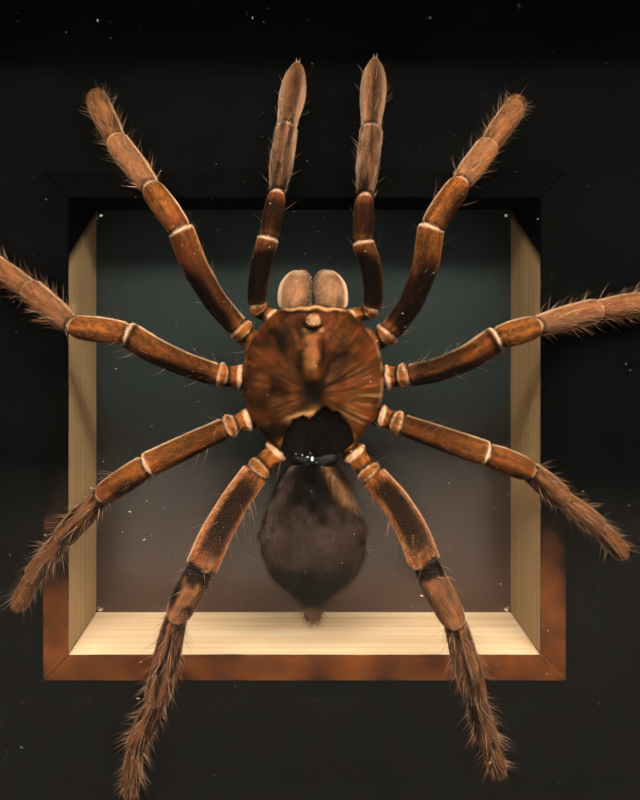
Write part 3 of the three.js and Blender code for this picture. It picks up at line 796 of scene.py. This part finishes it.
def jaw_point(hand):
    """The surface function of one jaw: blunt at its root, rounder in front, where it also turns
    inwards, with its inner side straight and a faint groove along its top."""
    def place(t, angle):
        u, w = np.sin(angle), np.cos(angle)
        front = ((t + 1) / 2) ** 2
        end = fullness(t, np.where(t > 0, 0.34, 0.1))
        groove = 0.25 * bump(u, 0.1 * hand, 0.18) * np.maximum(w, 0)
        middle = JAW["spread"] - 1.3 * front
        x = MIDLINE + hand * middle + u * (JAW["half_wide"] - 1.1 * front) * end
        h = JAW["height"] + w * (JAW["half_thick"] - groove) * end * (1 - 0.12 * t)
        return np.stack([x, JAW["middle"] + t * JAW["half_long"] + np.minimum(t, 0), h], -1)
    return place


def jaw_tones(t, angle, hand):
    """Tan with 1 mm specks, redder and darker in blotches near the root, cream along the outer edge
    and the front, and dark where the two jaws meet, which is painted shade between them."""
    side = hand * np.sin(angle)
    top = np.maximum(np.cos(angle), 0)
    blotch = grain(3 * t + 9, 2 * angle + 9, 311 + hand)
    speck = grain(9 * t + 19, 9 * angle + 19, 315 + hand)
    pale = 0.15 + 0.8 * smooth(0.7, 0.92, side) + 0.65 * smooth(0.6, 0.98, t) * top
    pale = pale + 0.15 * (speck - 0.5)
    # Painted shade on the inner side of each jaw, where the two jaws meet.
    dark = 0.75 * smooth(0.55, 0.95, -side) + 0.5 * bump(t, -0.8, 0.35) * blotch
    dark += 0.12 * smooth(0.5, 0.9, blotch)
    streak = 0.8 - 0.4 * blotch + 0.2 * (speck - 0.5)
    tones = {"pale": (pale, 0.95), "dark": (dark, 0.95), "streak": (streak, 1)}
    return {key: np.clip(values, 0, most) for key, (values, most) in tones.items()}


def make_jaws():
    """Both jaws and their short hair, combed forward and longer where the jaws meet."""
    for side, hand in (("left", -1), ("right", 1)):
        place = jaw_point(hand)
        t, angle = body_grid(89, 90)
        grid = place(t, angle)
        piece = ringed("jaw_" + side, grid, LIMB_VELVET, jaw_tones(t, angle, hand))
        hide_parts("chelicera_" + side)

        draw = np.random.default_rng(31 + hand)
        count = JAW_HAIRS
        t = draw.uniform(-0.95, 0.999, count)
        angle = draw.uniform(-0.62, 0.62, count) * np.pi
        roots = place(t, angle)
        normals = normals_of(place, t, angle, 0.002, 0.01)
        lean = np.array([0.0, 1.0, -0.1]) + draw.normal(0, 0.25, roots.shape)
        tones = jaw_tones(t, angle, hand)
        inside = smooth(0.5, 0.95, -hand * np.sin(angle))
        tones["streak"] = np.clip(tones["streak"] + draw.normal(0, 0.18, count), 0, 1)
        tones["pale"] = np.clip(tones["pale"] + 0.5 * inside * (draw.uniform(0, 1, count) > 0.6), 0, 1)
        tones["dark"] = tones["dark"] * (draw.uniform(0, 1, count) > 0.35 * inside)
        length = draw.uniform(0.4, 0.9, count) + 0.7 * inside * draw.uniform(0, 1, count)
        hair(
            f"jaw_{side}_hair", roots, normals, lean, draw.uniform(0.15, 0.5, count),
            length, 0.1, tones, LIMB_VELVET,
        )


def make_underside():
    """The plate between the hips, an ellipse in plan with a hairy skin."""
    t, angle = body_grid(39, 40)
    end = fullness(t, 0.35)
    s = STERNUM
    grid = np.stack([
        MIDLINE + np.sin(angle) * s["half_wide"] * end * (1 - 0.15 * t),
        s["middle"] + t * s["half_long"],
        s["height"] + np.cos(angle) * s["half_thick"] * end,
    ], -1)
    tones = {"pale": 0.0, "dark": 0.4, "streak": 0.4 + 0.2 * np.sin(7 * t), "open": 0.0}
    piece = ringed("sternum_plate", grid, SHIELD_VELVET, tones)
    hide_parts("sternum")


def lumps(points, seed, sizes, depth):
    """Folds in mm: a sum of ridged waves in drawn directions, one for each wavelength in sizes. A
    ridged wave is one less than twice the absolute sine."""
    draw = np.random.default_rng(seed)
    total = np.zeros(points.shape[:-1])
    for size in sizes:
        way = unit(draw.normal(0, 1, 3))
        bend = unit(draw.normal(0, 1, 3))
        phase = draw.uniform(0, 2 * np.pi)
        swing = 1.2 * np.sin(points @ bend * 2 * np.pi / (2.7 * size))
        wave = np.sin(points @ way * np.pi / size + phase + swing)
        total += (1 - 2 * np.sqrt(wave * wave + 0.25)) * size
    return depth * total / sum(sizes)


def abdomen_point(t, angle):
    """The dried abdomen: narrow in front, widest a little behind its middle and pointed at the end,
    with folds that are deeper on its sides."""
    a = ABDOMEN
    half_long = (a["front"] - a["tip"]) / 2
    middle = (a["front"] + a["tip"]) / 2
    u, w = np.sin(angle), np.cos(angle)
    width = (1 - 0.28 * smooth(0, 0.9, t)) * (1 - 0.35 * smooth(0.5, 0.9, -t))
    end = fullness(t, np.where(t > 0, 0.15, 0.8))
    x = u * a["half_wide"] * width * end
    h = w * a["half_thick"] * width * end
    plain = np.stack([MIDLINE + x, middle + t * half_long, a["height"] + h], -1)
    spoke = unit(np.stack([x, np.zeros_like(x), h * 2], -1))
    folds = lumps(plain, 5, (13, 9, 6, 3.6), 1.1)
    return plain + spoke * (folds * np.minimum(1, end * 1.4))[..., None]


def fuzzy_patch(side, t):
    """From 0 to 1: a streak of tan fuzz that slants down the right front of the abdomen. Side is the
    sine of the angle round it."""
    return bump(side, 0.54 + 0.81 * (0.95 - t), 0.2) * smooth(0.3, 0.55, t)


def smoky_band(t):
    """From 0 to 1: the band across the middle of the abdomen where its skin is thin and smoky."""
    return smooth(-0.55, -0.2, t) * smooth(0.5, 0.15, t)


def make_abdomen():
    """The abdomen's skin, black in front and behind, grey on its left and across its middle where it
    is thin, and its sparse hair, which is longer and lighter at the tip."""
    t, angle = body_grid(139, 160)
    grid = abdomen_point(t, angle)
    side = np.sin(angle)
    ragged = grain(t * 7 + 9, side * 5 + 9, 321) - 0.5
    left = smooth(-0.45, -0.9, side + 0.4 * ragged) * smooth(-0.45, 0.2, t + 0.4 * ragged)
    thin = np.maximum(0.6 * left, 0.17 * smoky_band(t + 0.4 * ragged)) * smooth(-0.3, 0.1, np.cos(angle))
    burnt = 0.95 * bump(side, -0.1, 0.7) * smooth(0.3, 0.6, t + 0.3 * ragged)
    burnt += 0.95 * smooth(0.35, 0.65, -t)
    tones = {"thin": thin, "tan": 0.55 * fuzzy_patch(side, t), "burnt": np.clip(burnt, 0, 0.96)}
    piece = ringed("abdomen_skin", grid, SKIN, tones)
    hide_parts("abdomen")

    draw = np.random.default_rng(47)
    count = ABDOMEN_HAIRS
    t = draw.uniform(-0.99, 0.97, count)
    t[:TIP_HAIRS] = draw.uniform(-0.995, -0.9, TIP_HAIRS)
    angle = draw.uniform(-np.pi, np.pi, count)
    roots = abdomen_point(t, angle)
    normals = normals_of(abdomen_point, t, angle, 0.004, 0.02)
    lean = np.array([0.0, -1.0, 0.0]) + draw.normal(0, 0.55, roots.shape)
    front = fuzzy_patch(np.sin(angle), t)
    end = smooth(-0.86, -0.97, t)
    light = 0.9 * front + 0.45 * end + 0.12 * smoky_band(t)
    tones = {
        "pale": np.clip((0.4 * end + 0.5 * front) * draw.uniform(0, 1, count), 0, 1),
        "dark": np.clip(0.98 - light + draw.normal(0, 0.06, count), 0, 0.98),
        "streak": draw.uniform(0, 1, count),
    }
    length = draw.uniform(1.2, 3.4, count) * (1 + 0.7 * end)
    hair(
        "abdomen_hair", roots, normals, lean, draw.uniform(0.15, 0.6, count), length,
        0.08, tones, LIMB_VELVET, rings=2, sag=0.15,
    )


def make_waist():
    """The narrow waist in its crust of black dried matter, which fills the gap between the shield
    and the abdomen: an ellipsoid with folds, and pale beads on it, painted highlights for its wet glints."""
    t, angle = body_grid(119, 160)
    w = WAIST
    ring = np.sqrt(1 - t * t)
    centre = np.array([MIDLINE + w["aside"], w["middle"], w["height"]])
    plain = centre + np.stack([
        w["half_wide"] * t,
        w["half_long"] * ring * np.sin(angle),
        w["half_thick"] * ring * np.cos(angle),
    ], -1)
    spoke = unit(plain - centre)
    grid = plain + spoke * lumps(plain, 9, (5, 3.1, 2.0, 1.3, 0.9, 0.6), 1.2)[..., None]
    piece = ringed("waist_crust", grid, CRUST)
    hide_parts("pedicel")
    beads("painted_highlight_beads", HIGHLIGHT_BEADS, HIGHLIGHT_BEAD_WHITE)


# ---- limbs ----

def limb_line(name):
    """A limb's path in mm and the distance along it at which each of its joints ends. Each joint is
    a step of its length in its heading; the femur has two more points, which bow it sideways by
    4t(1 - t) of its bow. The path runs on straight for a little at both ends."""
    hip, bow, joints = LIMBS[name]
    radii = RADII[name.rsplit("_", 1)[0]]
    points = [np.array(hip, float)]
    corners = []
    for i, (length, heading, height) in enumerate(joints):
        turn = np.radians(heading)
        start = points[-1]
        to = start + length * np.array([np.sin(turn), np.cos(turn), 0])
        to[2] = height if height > 0 else radii[i] * 0.6 + FOOT_GAP
        aside = np.array([np.cos(turn), -np.sin(turn), 0])
        if i == FEMUR:
            points += [start + (to - start) * t + aside * 4 * t * (1 - t) * bow for t in (1 / 3, 2 / 3)]
        points.append(to)
        corners.append(len(points) - 1)
    points = np.array(points)
    before = points[0] + 6 * unit(points[0] - points[1])
    after = points[-1] + 6 * unit(points[-1] - points[-2])
    points = np.concatenate([[before], points, [after]])
    reach = np.concatenate([[0], np.cumsum(np.linalg.norm(np.diff(points, axis=0), axis=1))]) - 6
    return {
        "name": name, "kind": name.rsplit("_", 1)[0], "points": points, "reach": reach,
        "radii": np.array(radii), "ends": reach[np.array(corners) + 1],
        "seed": 100 + 10 * list(LIMBS).index(name),
    }


def path_at(limb, s):
    """The path's point at distance s, averaged over 2 mm each way so that its corners are round."""
    shifts = np.linspace(-2, 2, 7)
    spread = s[..., None] + shifts
    return np.stack([np.interp(spread, limb["reach"], limb["points"][:, k]).mean(-1) for k in range(3)], -1)


def joint_at(limb, s):
    """Which joint s is in, how far along it from 0 to 1, and the mm left to its end."""
    ends = limb["ends"]
    starts = np.concatenate([[0], ends[:-1]])
    joint = np.clip(np.searchsorted(ends, s), 0, len(ends) - 1)
    length = ends[joint] - starts[joint]
    return joint, np.clip((s - starts[joint]) / length, 0, 1), ends[joint] - s


def from_hip(limb, s):
    """The distance past the far end of the coxa and past that of the trochanter."""
    return s - limb["ends"][COXA], s - limb["ends"][TROCHANTER]


def limb_radius(limb, s):
    """The radius at s. Next to the body two swollen collars lie with a deep gap between them, the
    femur widens evenly, the patella ends in a rounded cap, the outer joints start narrow under the
    one before, and the last has a blunt tip, pointed on a palp. A groove parts each joint from the
    next. The tip is (1 - r squared) to a power, with r from 0 to 1 over its last few radii."""
    joint, share, left = joint_at(limb, s)
    past_coxa, past_trochanter = from_hip(limb, s)
    near = past_trochanter < 1.0
    radius = np.where(near, limb["radii"][TROCHANTER] + 0.1, limb["radii"][joint])
    collars = 0.76 + 0.25 * bump(past_coxa, 0.0, 1.4) + 0.28 * bump(past_trochanter, -0.6, 1.5)
    femur = 0.88 + 0.12 * smooth(0, 0.85, share)
    cap = np.clip(1 - left / 2.6, 0, 1)
    patella = (0.88 + 0.14 * np.sin(np.pi * share**0.9)) * np.sqrt(1 - 0.4 * cap**2)
    waist = 0.26 if limb["kind"] == "palp" else 0.16
    outer = 1 - waist * smooth(0.45, 0, share)
    swell = np.select([near, joint == FEMUR, joint == PATELLA], [collars, femur, patella], outer)
    last = joint == len(limb["ends"]) - 1
    gaps = np.abs(s[..., None] - limb["ends"][FEMUR:-1]).min(-1)
    groove = 0.16 * np.exp(-((gaps / 0.4) ** 2)) + 0.2 * bump(past_trochanter, 1.0, 0.35)
    taper, blunt = TIP[limb["kind"] == "palp"]
    rounding = np.clip(1 - left / (taper * radius), 0, 1)
    tip = np.where(last, np.clip(1 - rounding**2, 0, 1) ** blunt, 1)
    return radius * (swell - groove) * tip * smooth(-0.5, 1.0, s)


def arched(limb, s, angle):
    """The distance along the limb with the joints' ends arched: on top they reach 0.9 mm further out,
    underneath as much less, except at the limb's tip."""
    return s - 0.9 * np.cos(angle) * (1 - smooth(limb["ends"][-1] - 5, limb["ends"][-1] - 1, s))


def limb_axes(limb, s):
    """The limb's middle at s and the two directions square to it there: across, level with the
    board, and over, away from the board."""
    along = unit(path_at(limb, s + 0.4) - path_at(limb, s - 0.4))
    across = unit(np.cross(along, [0.0, 0.0, 1.0]))
    return path_at(limb, s), across, np.cross(across, along)


def limb_point(limb):
    """The limb's surface function: a circle of limb_radius, square to the smoothed path, flatter on
    the side that faces the board and crinkled on the two joints next to the body."""
    def place(s, angle):
        centre, across, over = limb_axes(limb, s)
        seen = arched(limb, s, angle)
        radius = limb_radius(limb, seen)
        near = from_hip(limb, seen)[1] < 1.0
        radius = radius + near * 0.6 * (grain(seen / 1.2, angle * 4, limb["seed"] + 3) - 0.5)
        radius = radius + 0.16 * (grain(seen / 5, angle * radius / 0.9, limb["seed"]) - 0.5)
        u, w = np.sin(angle)[..., None], np.cos(angle)[..., None]
        return centre + radius[..., None] * (across * u + over * np.where(w < 0, 0.88 * w, w))
    return place


def hip_tones(limb, s, angle):
    """How pale and how dark the two collars next to the body are: the inner a cream leaf across the
    limb, the outer orange with both its edges cream, the gaps beside them dark."""
    past_coxa, past_trochanter = from_hip(limb, s)
    leaf = np.maximum(np.cos(angle * 0.95), 0) ** 0.5
    folds = 0.7 + 0.6 * (grain(s / 1.2, angle * 4, limb["seed"] + 3) - 0.5)
    inner = 0.6 * smooth(1.5, 0.9, np.abs(past_coxa) / np.maximum(leaf, 0.2))
    edge = np.abs(np.abs(past_trochanter + 0.6) - 1.4 * leaf)
    outer = 0.6 * bump(edge, 0, 0.4)
    gap = 0.9 * bump(past_coxa, -1.9, 0.8) + 0.9 * bump(past_trochanter, -2.6, 0.7)
    gap += 0.95 * bump(past_trochanter, 1.1, 0.32)
    return (inner + outer) * folds, gap


def own_value(table, limb):
    """A limb's own entry in a table of how worn limbs are, or else its kind's."""
    return table.get(limb["name"], table[limb["kind"]])


def worn_dark(limb, s, angle):
    """How dark the limb is where it is worn to the skin: on top of the femur, on the hind legs in a
    stripe, on the patella in patches, further out in clouds 6 mm long with strands, and on the palps
    also along the middle and at the tibia's start. The hind legs' knee has a ragged bare band, and
    the second legs' femur a ring near its end."""
    joint, share, left = joint_at(limb, s)
    kind, seed = limb["kind"], limb["seed"]
    femur, patella, outer = (own_value(table, limb) for table in (FEMUR_DARK, PATELLA_DARK, OUTER_DARK))
    if kind == "leg_4":
        top = smooth(0.5, 0.86, np.cos(angle + 0.1))
        middle = smooth(0.06, 0.2, share) * (1 - 0.5 * smooth(0.8, 0.97, share))
        ragged = 2.4 * (grain(angle * 2.5 + 9, s / 3, seed + 9) - 0.5)
        bare = 1.3 * np.exp(-(((s - limb["ends"][FEMUR] - 0.9 + ragged) / 1.8) ** 4))
    else:
        top = 0.8 + 0.2 * np.cos(angle + 0.6)
        middle = smooth(0.02, 0.15, share) * (1 - smooth(*own_value(DARK_TO, limb), share))
        bare = 0.9 * bump(left, 1.5, 0.6) * (joint == FEMUR) * (kind == "leg_2")
    patch = smooth(-0.05, 0.15, share) * (1 - smooth(0.7, 0.95, share))
    if kind != "palp":
        patch = patch * np.maximum(smooth(0.3, 0.6, grain(s / 4, angle * 1.2 + 9, seed + 5)), 0.3)
    cloud = smooth(0.35, 0.7, grain(s / 6, angle * 2.2 + 9, seed + 6))
    strand = smooth(0.45, 0.75, grain(s / 4, angle * 5 + 9, seed + 11))
    own = np.array(outer)[np.clip(joint - TIBIA, 0, len(outer) - 1)]
    mottle = own * (0.3 + 0.7 * cloud + 0.6 * strand)
    if kind == "palp":
        core = bump((angle + np.pi) % (2 * np.pi) - np.pi, 0.1, 0.6) * smooth(0.95, 0.6, share)
        mottle = mottle + np.where(joint > TIBIA, 0.6 * core, 0.4 * smooth(0.6, 0, share))
    places = [joint == FEMUR, joint == PATELLA, joint >= TIBIA]
    return np.select(places, [femur * middle * top, patella * patch, mottle], 0.0), bare


def limb_tones(limb, s, angle):
    """The limb's tones. Pale: the collars, a thin crescent on top at the far end of each joint, a
    painted highlight along the edges, strongest on the edge that faces the head and the light from
    above, and the palps' sides. Dark: where it is worn, each joint's groove, and painted shade on the
    sides that face down and away from the head. Streak: noise drawn out 6 mm along and 0.5 mm across,
    with 1 mm tufts. The hind legs' femur is golden with pale specks on its sides and at its far end."""
    _, across, over = limb_axes(limb, s)
    up = across[..., 1] * np.sin(angle) + over[..., 1] * np.cos(angle)
    s = arched(limb, s, angle)
    joint, share, left = joint_at(limb, s)
    kind, seed, radius = limb["kind"], limb["seed"], limb["radii"][joint]
    side = np.abs(np.sin(angle))
    near = from_hip(limb, s)[1] < 1.3
    hip_pale, hip_dark = hip_tones(limb, s, angle)
    rim = RIM_PALE[joint] * smooth(-0.5, 0.4, np.cos(angle)) * bump(left, 0.45, 0.32)
    rim = rim * (0.5 if kind == "leg_4" else 1.0)
    both = 0.55 if kind == "leg_4" else np.where(joint >= TIBIA, 0.45, 0.1)
    # Painted highlight: a pale edge where the light from above catches the hair, mostly on the edge that
    # faces the head, brighter on the left limbs.
    painted_edge_highlight = smooth(0.88, 0.97, side) * (both + (1 - both) * smooth(0.0, 0.6, up))
    painted_edge_highlight = painted_edge_highlight * (0.65 + 0.5 * grain(s / 1.7, np.sign(np.sin(angle)) + 5, seed + 7))
    lit = 0.66 if limb["name"].endswith("left") else 0.46
    pale = np.where(near, hip_pale, OWN_PALE[joint] * (kind != "palp") + rim + lit * painted_edge_highlight)
    if kind == "palp":
        pale = pale + np.where(joint >= TIBIA, 0.06 + 0.24 * smooth(0.4, 0.85, side), 0)

    worn, bare = worn_dark(limb, s, angle)
    gaps = np.abs(s[..., None] - limb["ends"][FEMUR:-1]).min(-1)
    groove = 0.95 * np.exp(-((gaps / 0.33) ** 2))
    # Painted shade on the sides that face away from the head and on the side that faces the board.
    shade = 0.7 * smooth(0.1, 0.8, -up) * (1 - 0.8 * both * painted_edge_highlight)
    shade = shade + 0.5 * smooth(-0.1, 0.9, -np.cos(angle))
    dark = np.clip(np.where(near, hip_dark, worn) + groove + bare + shade, 0, 0.97)

    gold = 0.0
    if kind == "leg_4":
        gold = smooth(0.35, 0.75, side) + 0.8 * smooth(0.6, 0.85, share)
        gold = np.where((joint == FEMUR) & ~near, np.clip(gold, 0, 1), 0)
        speck = smooth(0.45, 0.8, grain(s / 0.7, angle * radius / 0.5, seed + 8))
        pale = 0.9 * pale + 0.2 * gold * speck + 0.05 * (joint == PATELLA)
    fine = grain(s / 6, angle * radius / 0.5, seed + 1)
    coarse = grain(s / 9, angle * radius / 1.4, seed + 2)
    tuft = grain(s / 0.8, angle * radius / 0.38, seed + 4)
    warm = np.where(near, 0.25, OWN_WARM[joint] * (kind != "palp"))
    streak = 0.3 * fine + 0.5 * coarse + 0.5 * tuft - 0.15 + 0.4 * gold + warm
    return {"pale": np.clip(pale, 0, 0.95), "dark": dark, "streak": np.clip(streak, 0, 1)}


def limb_hair(limb, draw):
    """Where the limb's velvet grows: all over, thicker on the side towards the glass. More places are
    drawn than are needed, because those beyond half a turn are left out."""
    length = limb["ends"][-1]
    count = int(length * GIRTH * VELVET)
    s = draw.uniform(2.0, length - 0.3, count * 2)
    angle = draw.normal(0, 0.42, count * 2) * np.pi
    inside = np.abs(angle) < np.pi
    s, angle = s[inside][:count], angle[inside][:count]
    return s, angle


def make_limb(name):
    """One limb: its skin, a grid of limb_point, its velvet and its bristles."""
    limb = limb_line(name)
    place = limb_point(limb)
    length = limb["ends"][-1]
    s = np.concatenate([np.arange(0, length - 0.6, LIMB_RING), length - np.array(TIP_RINGS)])
    s, angle = np.meshgrid(s, np.linspace(0, 2 * np.pi, LIMB_SIDES + 1)[:-1], indexing="ij")
    piece = ringed(name + "_skin", place(s, angle), LIMB_VELVET, limb_tones(limb, s, angle))
    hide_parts(name)

    draw = np.random.default_rng(sum(map(ord, name)))  # each limb has draws of its own
    s, angle = limb_hair(limb, draw)
    roots = place(s, angle)
    normals = normals_of(place, s, angle, 0.1, 0.02)
    ahead = unit(path_at(limb, s + 0.5) - path_at(limb, s - 0.5))
    lean = ahead + draw.normal(0, 0.12, roots.shape)
    tones = limb_tones(limb, s, angle)
    count = len(s)
    tones["streak"] = np.clip(tones["streak"] + draw.normal(0, 0.4, count), 0, 1)
    tones["pale"] = tones["pale"] + 0.35 * (draw.uniform(0, 1, count) > 0.92)
    tuft = smooth(0.5, 0.85, grain(s / 1.6, angle * 4 + 9, limb["seed"] + 12))
    worn = 0.34 * tuft + 0.55 * (draw.uniform(0, 1, count) > 0.9)
    tones["dark"] = np.clip(tones["dark"] + worn, 0, 0.97)
    joint, _, left = joint_at(limb, s)
    reach = np.select([joint <= TROCHANTER, joint > PATELLA], [0.4, 1.2], 0.9)
    reach = np.minimum(reach, 0.3 + 0.5 * np.abs(left)) * draw.uniform(0.6, 1.2, count)
    hair(
        name + "_pelt", roots, normals, lean, draw.uniform(0.1, 0.35, count), reach,
        0.1, tones, LIMB_VELVET,
    )
    make_bristles(limb, place, draw)


def make_bristles(limb, place, draw):
    """Long bristles on the outer joints and a few on the rest, combed outwards along the limb."""
    length = limb["ends"][-1]
    knee = limb["ends"][PATELLA]
    shag = SHAG[limb["kind"]]
    outer = int((length - knee) * GIRTH * OUTER_BRISTLES * shag)
    inner = int(knee * GIRTH * INNER_BRISTLES * shag)
    s = np.concatenate([draw.uniform(knee, length - 2.5, outer), draw.uniform(8, knee, inner)])
    angle = draw.uniform(-np.pi, np.pi, len(s))
    roots = place(s, angle)
    normals = normals_of(place, s, angle, 0.1, 0.02)
    ahead = unit(path_at(limb, s + 0.5) - path_at(limb, s - 0.5))
    lean = ahead + draw.normal(0, 0.25, roots.shape)
    count = len(s)
    wild = draw.uniform(0, 1, count) ** 2.2
    reach = (1.5 + 4 * wild) * (0.6 + 0.4 * shag)
    reach = np.minimum(reach, 0.8 + length - s)
    tones = {
        "pale": np.clip(draw.uniform(-0.5, 0.4, count) + 0.5 * wild, 0, 1),
        "dark": np.clip(draw.uniform(-0.9, 0.9, count) - 0.4 * wild, 0, 0.9),
        "streak": draw.uniform(0.2, 1, count),
    }
    hair(
        limb["name"] + "_bristles", roots, normals, lean, 0.15 + 0.85 * wild, reach,
        0.08, tones, LIMB_VELVET, rings=2, sag=0.25,
    )


def make_claws():
    """The paired claws at the tip of each limb, hooked down towards the board."""
    roots, leans = [], []
    for name in LIMBS:
        limb = limb_line(name)
        tip = np.array([limb["ends"][-1]])
        centre, across, over = limb_axes(limb, tip - 0.9)
        along = np.cross(over, across)
        for hand in (-1, 1):
            roots.append(centre + hand * across * 0.35 + 0.8 * over)
            leans.append(along + 0.1 * hand * across)
    roots, leans = np.concatenate(roots), np.concatenate(leans)
    normals = np.tile([0.0, 0.0, 1.0], (len(roots), 1))
    hair(
        "claws", roots, normals, leans, 0.3, 1.2, 0.3, {}, CLAW, rings=3, sag=0.2, sunk=0.0,
    )


# ---- dust on the glass ----

def make_dust():
    """Specks of dust and lint on the face of the glass: flat closed flakes with three sides."""
    low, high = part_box("front_glass")
    draw = np.random.default_rng(77)
    count = DUST_SPECKS
    x = draw.uniform(low.x + 0.01, high.x - 0.01, count)
    z = draw.uniform(low.z + 0.01, high.z - 0.01, count)
    size = np.minimum(0.04 + draw.exponential(0.036, count), 0.17) * MM
    turn = draw.uniform(0, 2 * np.pi, count)
    stretch = np.where(draw.uniform(0, 1, count) < 0.1, draw.uniform(2, 4, count), 1.0)
    rows = []
    for k in range(3):
        long = size * stretch * np.cos(k * 2 * np.pi / 3)
        wide = size * np.sin(k * 2 * np.pi / 3)
        dx = long * np.cos(turn) - wide * np.sin(turn)
        dz = long * np.sin(turn) + wide * np.cos(turn)
        rows.append(np.stack([x + dx, np.full(count, low.y) - 0.01 * MM, z + dz], -1))
    rows.append(np.stack([x, np.full(count, low.y) - 0.06 * MM, z], -1))
    points = np.stack(rows, 1)
    pattern = np.array([[0, 2, 1], [0, 1, 3], [1, 2, 3], [2, 0, 3]])
    own = points[0] - points[0].mean(0)
    pattern = outward(own, pattern)
    triangles = (pattern[None] + np.arange(count)[:, None, None] * 4).reshape(-1, 3)
    build("glass_dust", points.reshape(-1, 3), triangles, DUST)


# ---- the stage ----

def make_stage():
    """A pale floor, a camera square to the glass, and large soft lights in front, above, beside and
    behind."""
    scene = bpy.context.scene
    floor_mesh = bpy.data.meshes.new("floor")
    reach = 3.0
    corners = [(-reach, -reach, 0), (reach, -reach, 0), (reach, reach, 0), (-reach, reach, 0)]
    floor_mesh.from_pydata(corners, [], [(0, 1, 2, 3)])
    floor_mesh.materials.append(principled("pale_floor", "#cfccc6", 0.8)[0])
    floor = bpy.data.objects.new("floor", floor_mesh)
    scene.collection.objects.link(floor)

    world = bpy.data.worlds.new("studio")
    world.use_nodes = True
    backdrop = world.node_tree.nodes["Background"]
    backdrop.inputs["Color"].default_value = linear("#d9dde0")
    backdrop.inputs["Strength"].default_value = 0.16
    scene.world = world
    scene.view_settings.view_transform = "Standard"

    # Each light: its name, place and size in metres, its watts and its colour.
    lights = (
        ("key", (0.06, -0.75, 0.55), (0.9, 0.1), 22.0, "#ffecd9"),
        ("top", (0.05, -0.36, 0.86), (0.8, 0.3), 2.5, "#fff0dc"),
        ("left", (-0.72, -0.62, 0.5), (0.4, 0.4), 0.6, "#f2efe9"),
        ("right", (0.72, -0.62, 0.5), (0.4, 0.4), 0.6, "#f2efe9"),
        ("back", (-0.5, 0.9, 0.7), (0.8, 0.8), 10.0, "#f2f2f2"),
    )
    for name, at, size, power, code in lights:
        lamp = bpy.data.lights.new(name, "AREA")
        lamp.shape = "RECTANGLE"
        lamp.size, lamp.size_y = size
        lamp.energy = power
        lamp.color = linear(code)[:3]
        holder = bpy.data.objects.new(name, lamp)
        holder.location = at
        aim = Vector((0, 0, 0.17)) - Vector(at)
        holder.rotation_euler = aim.to_track_quat("-Z", "Y").to_euler()
        scene.collection.objects.link(holder)

    camera = bpy.data.cameras.new("camera")
    camera.lens = LENS
    camera.sensor_width = SENSOR
    camera.shift_x = (FRAME_WIDE / 2 - SQUARE_ON[0]) / FRAME_HIGH
    camera.shift_y = (SQUARE_ON[1] - FRAME_HIGH / 2) / FRAME_HIGH
    camera.clip_start = 0.01
    holder = bpy.data.objects.new("camera", camera)
    holder.location = [v * MM for v in CAMERA_AT]
    holder.rotation_euler = (np.pi / 2, 0, 0)
    scene.collection.objects.link(holder)
    scene.camera = holder


finish_case()
make_shield()
make_eyes()
make_jaws()
make_underside()
make_waist()
make_abdomen()
for limb_name in LIMBS:
    make_limb(limb_name)
make_claws()
make_dust()
make_stage()
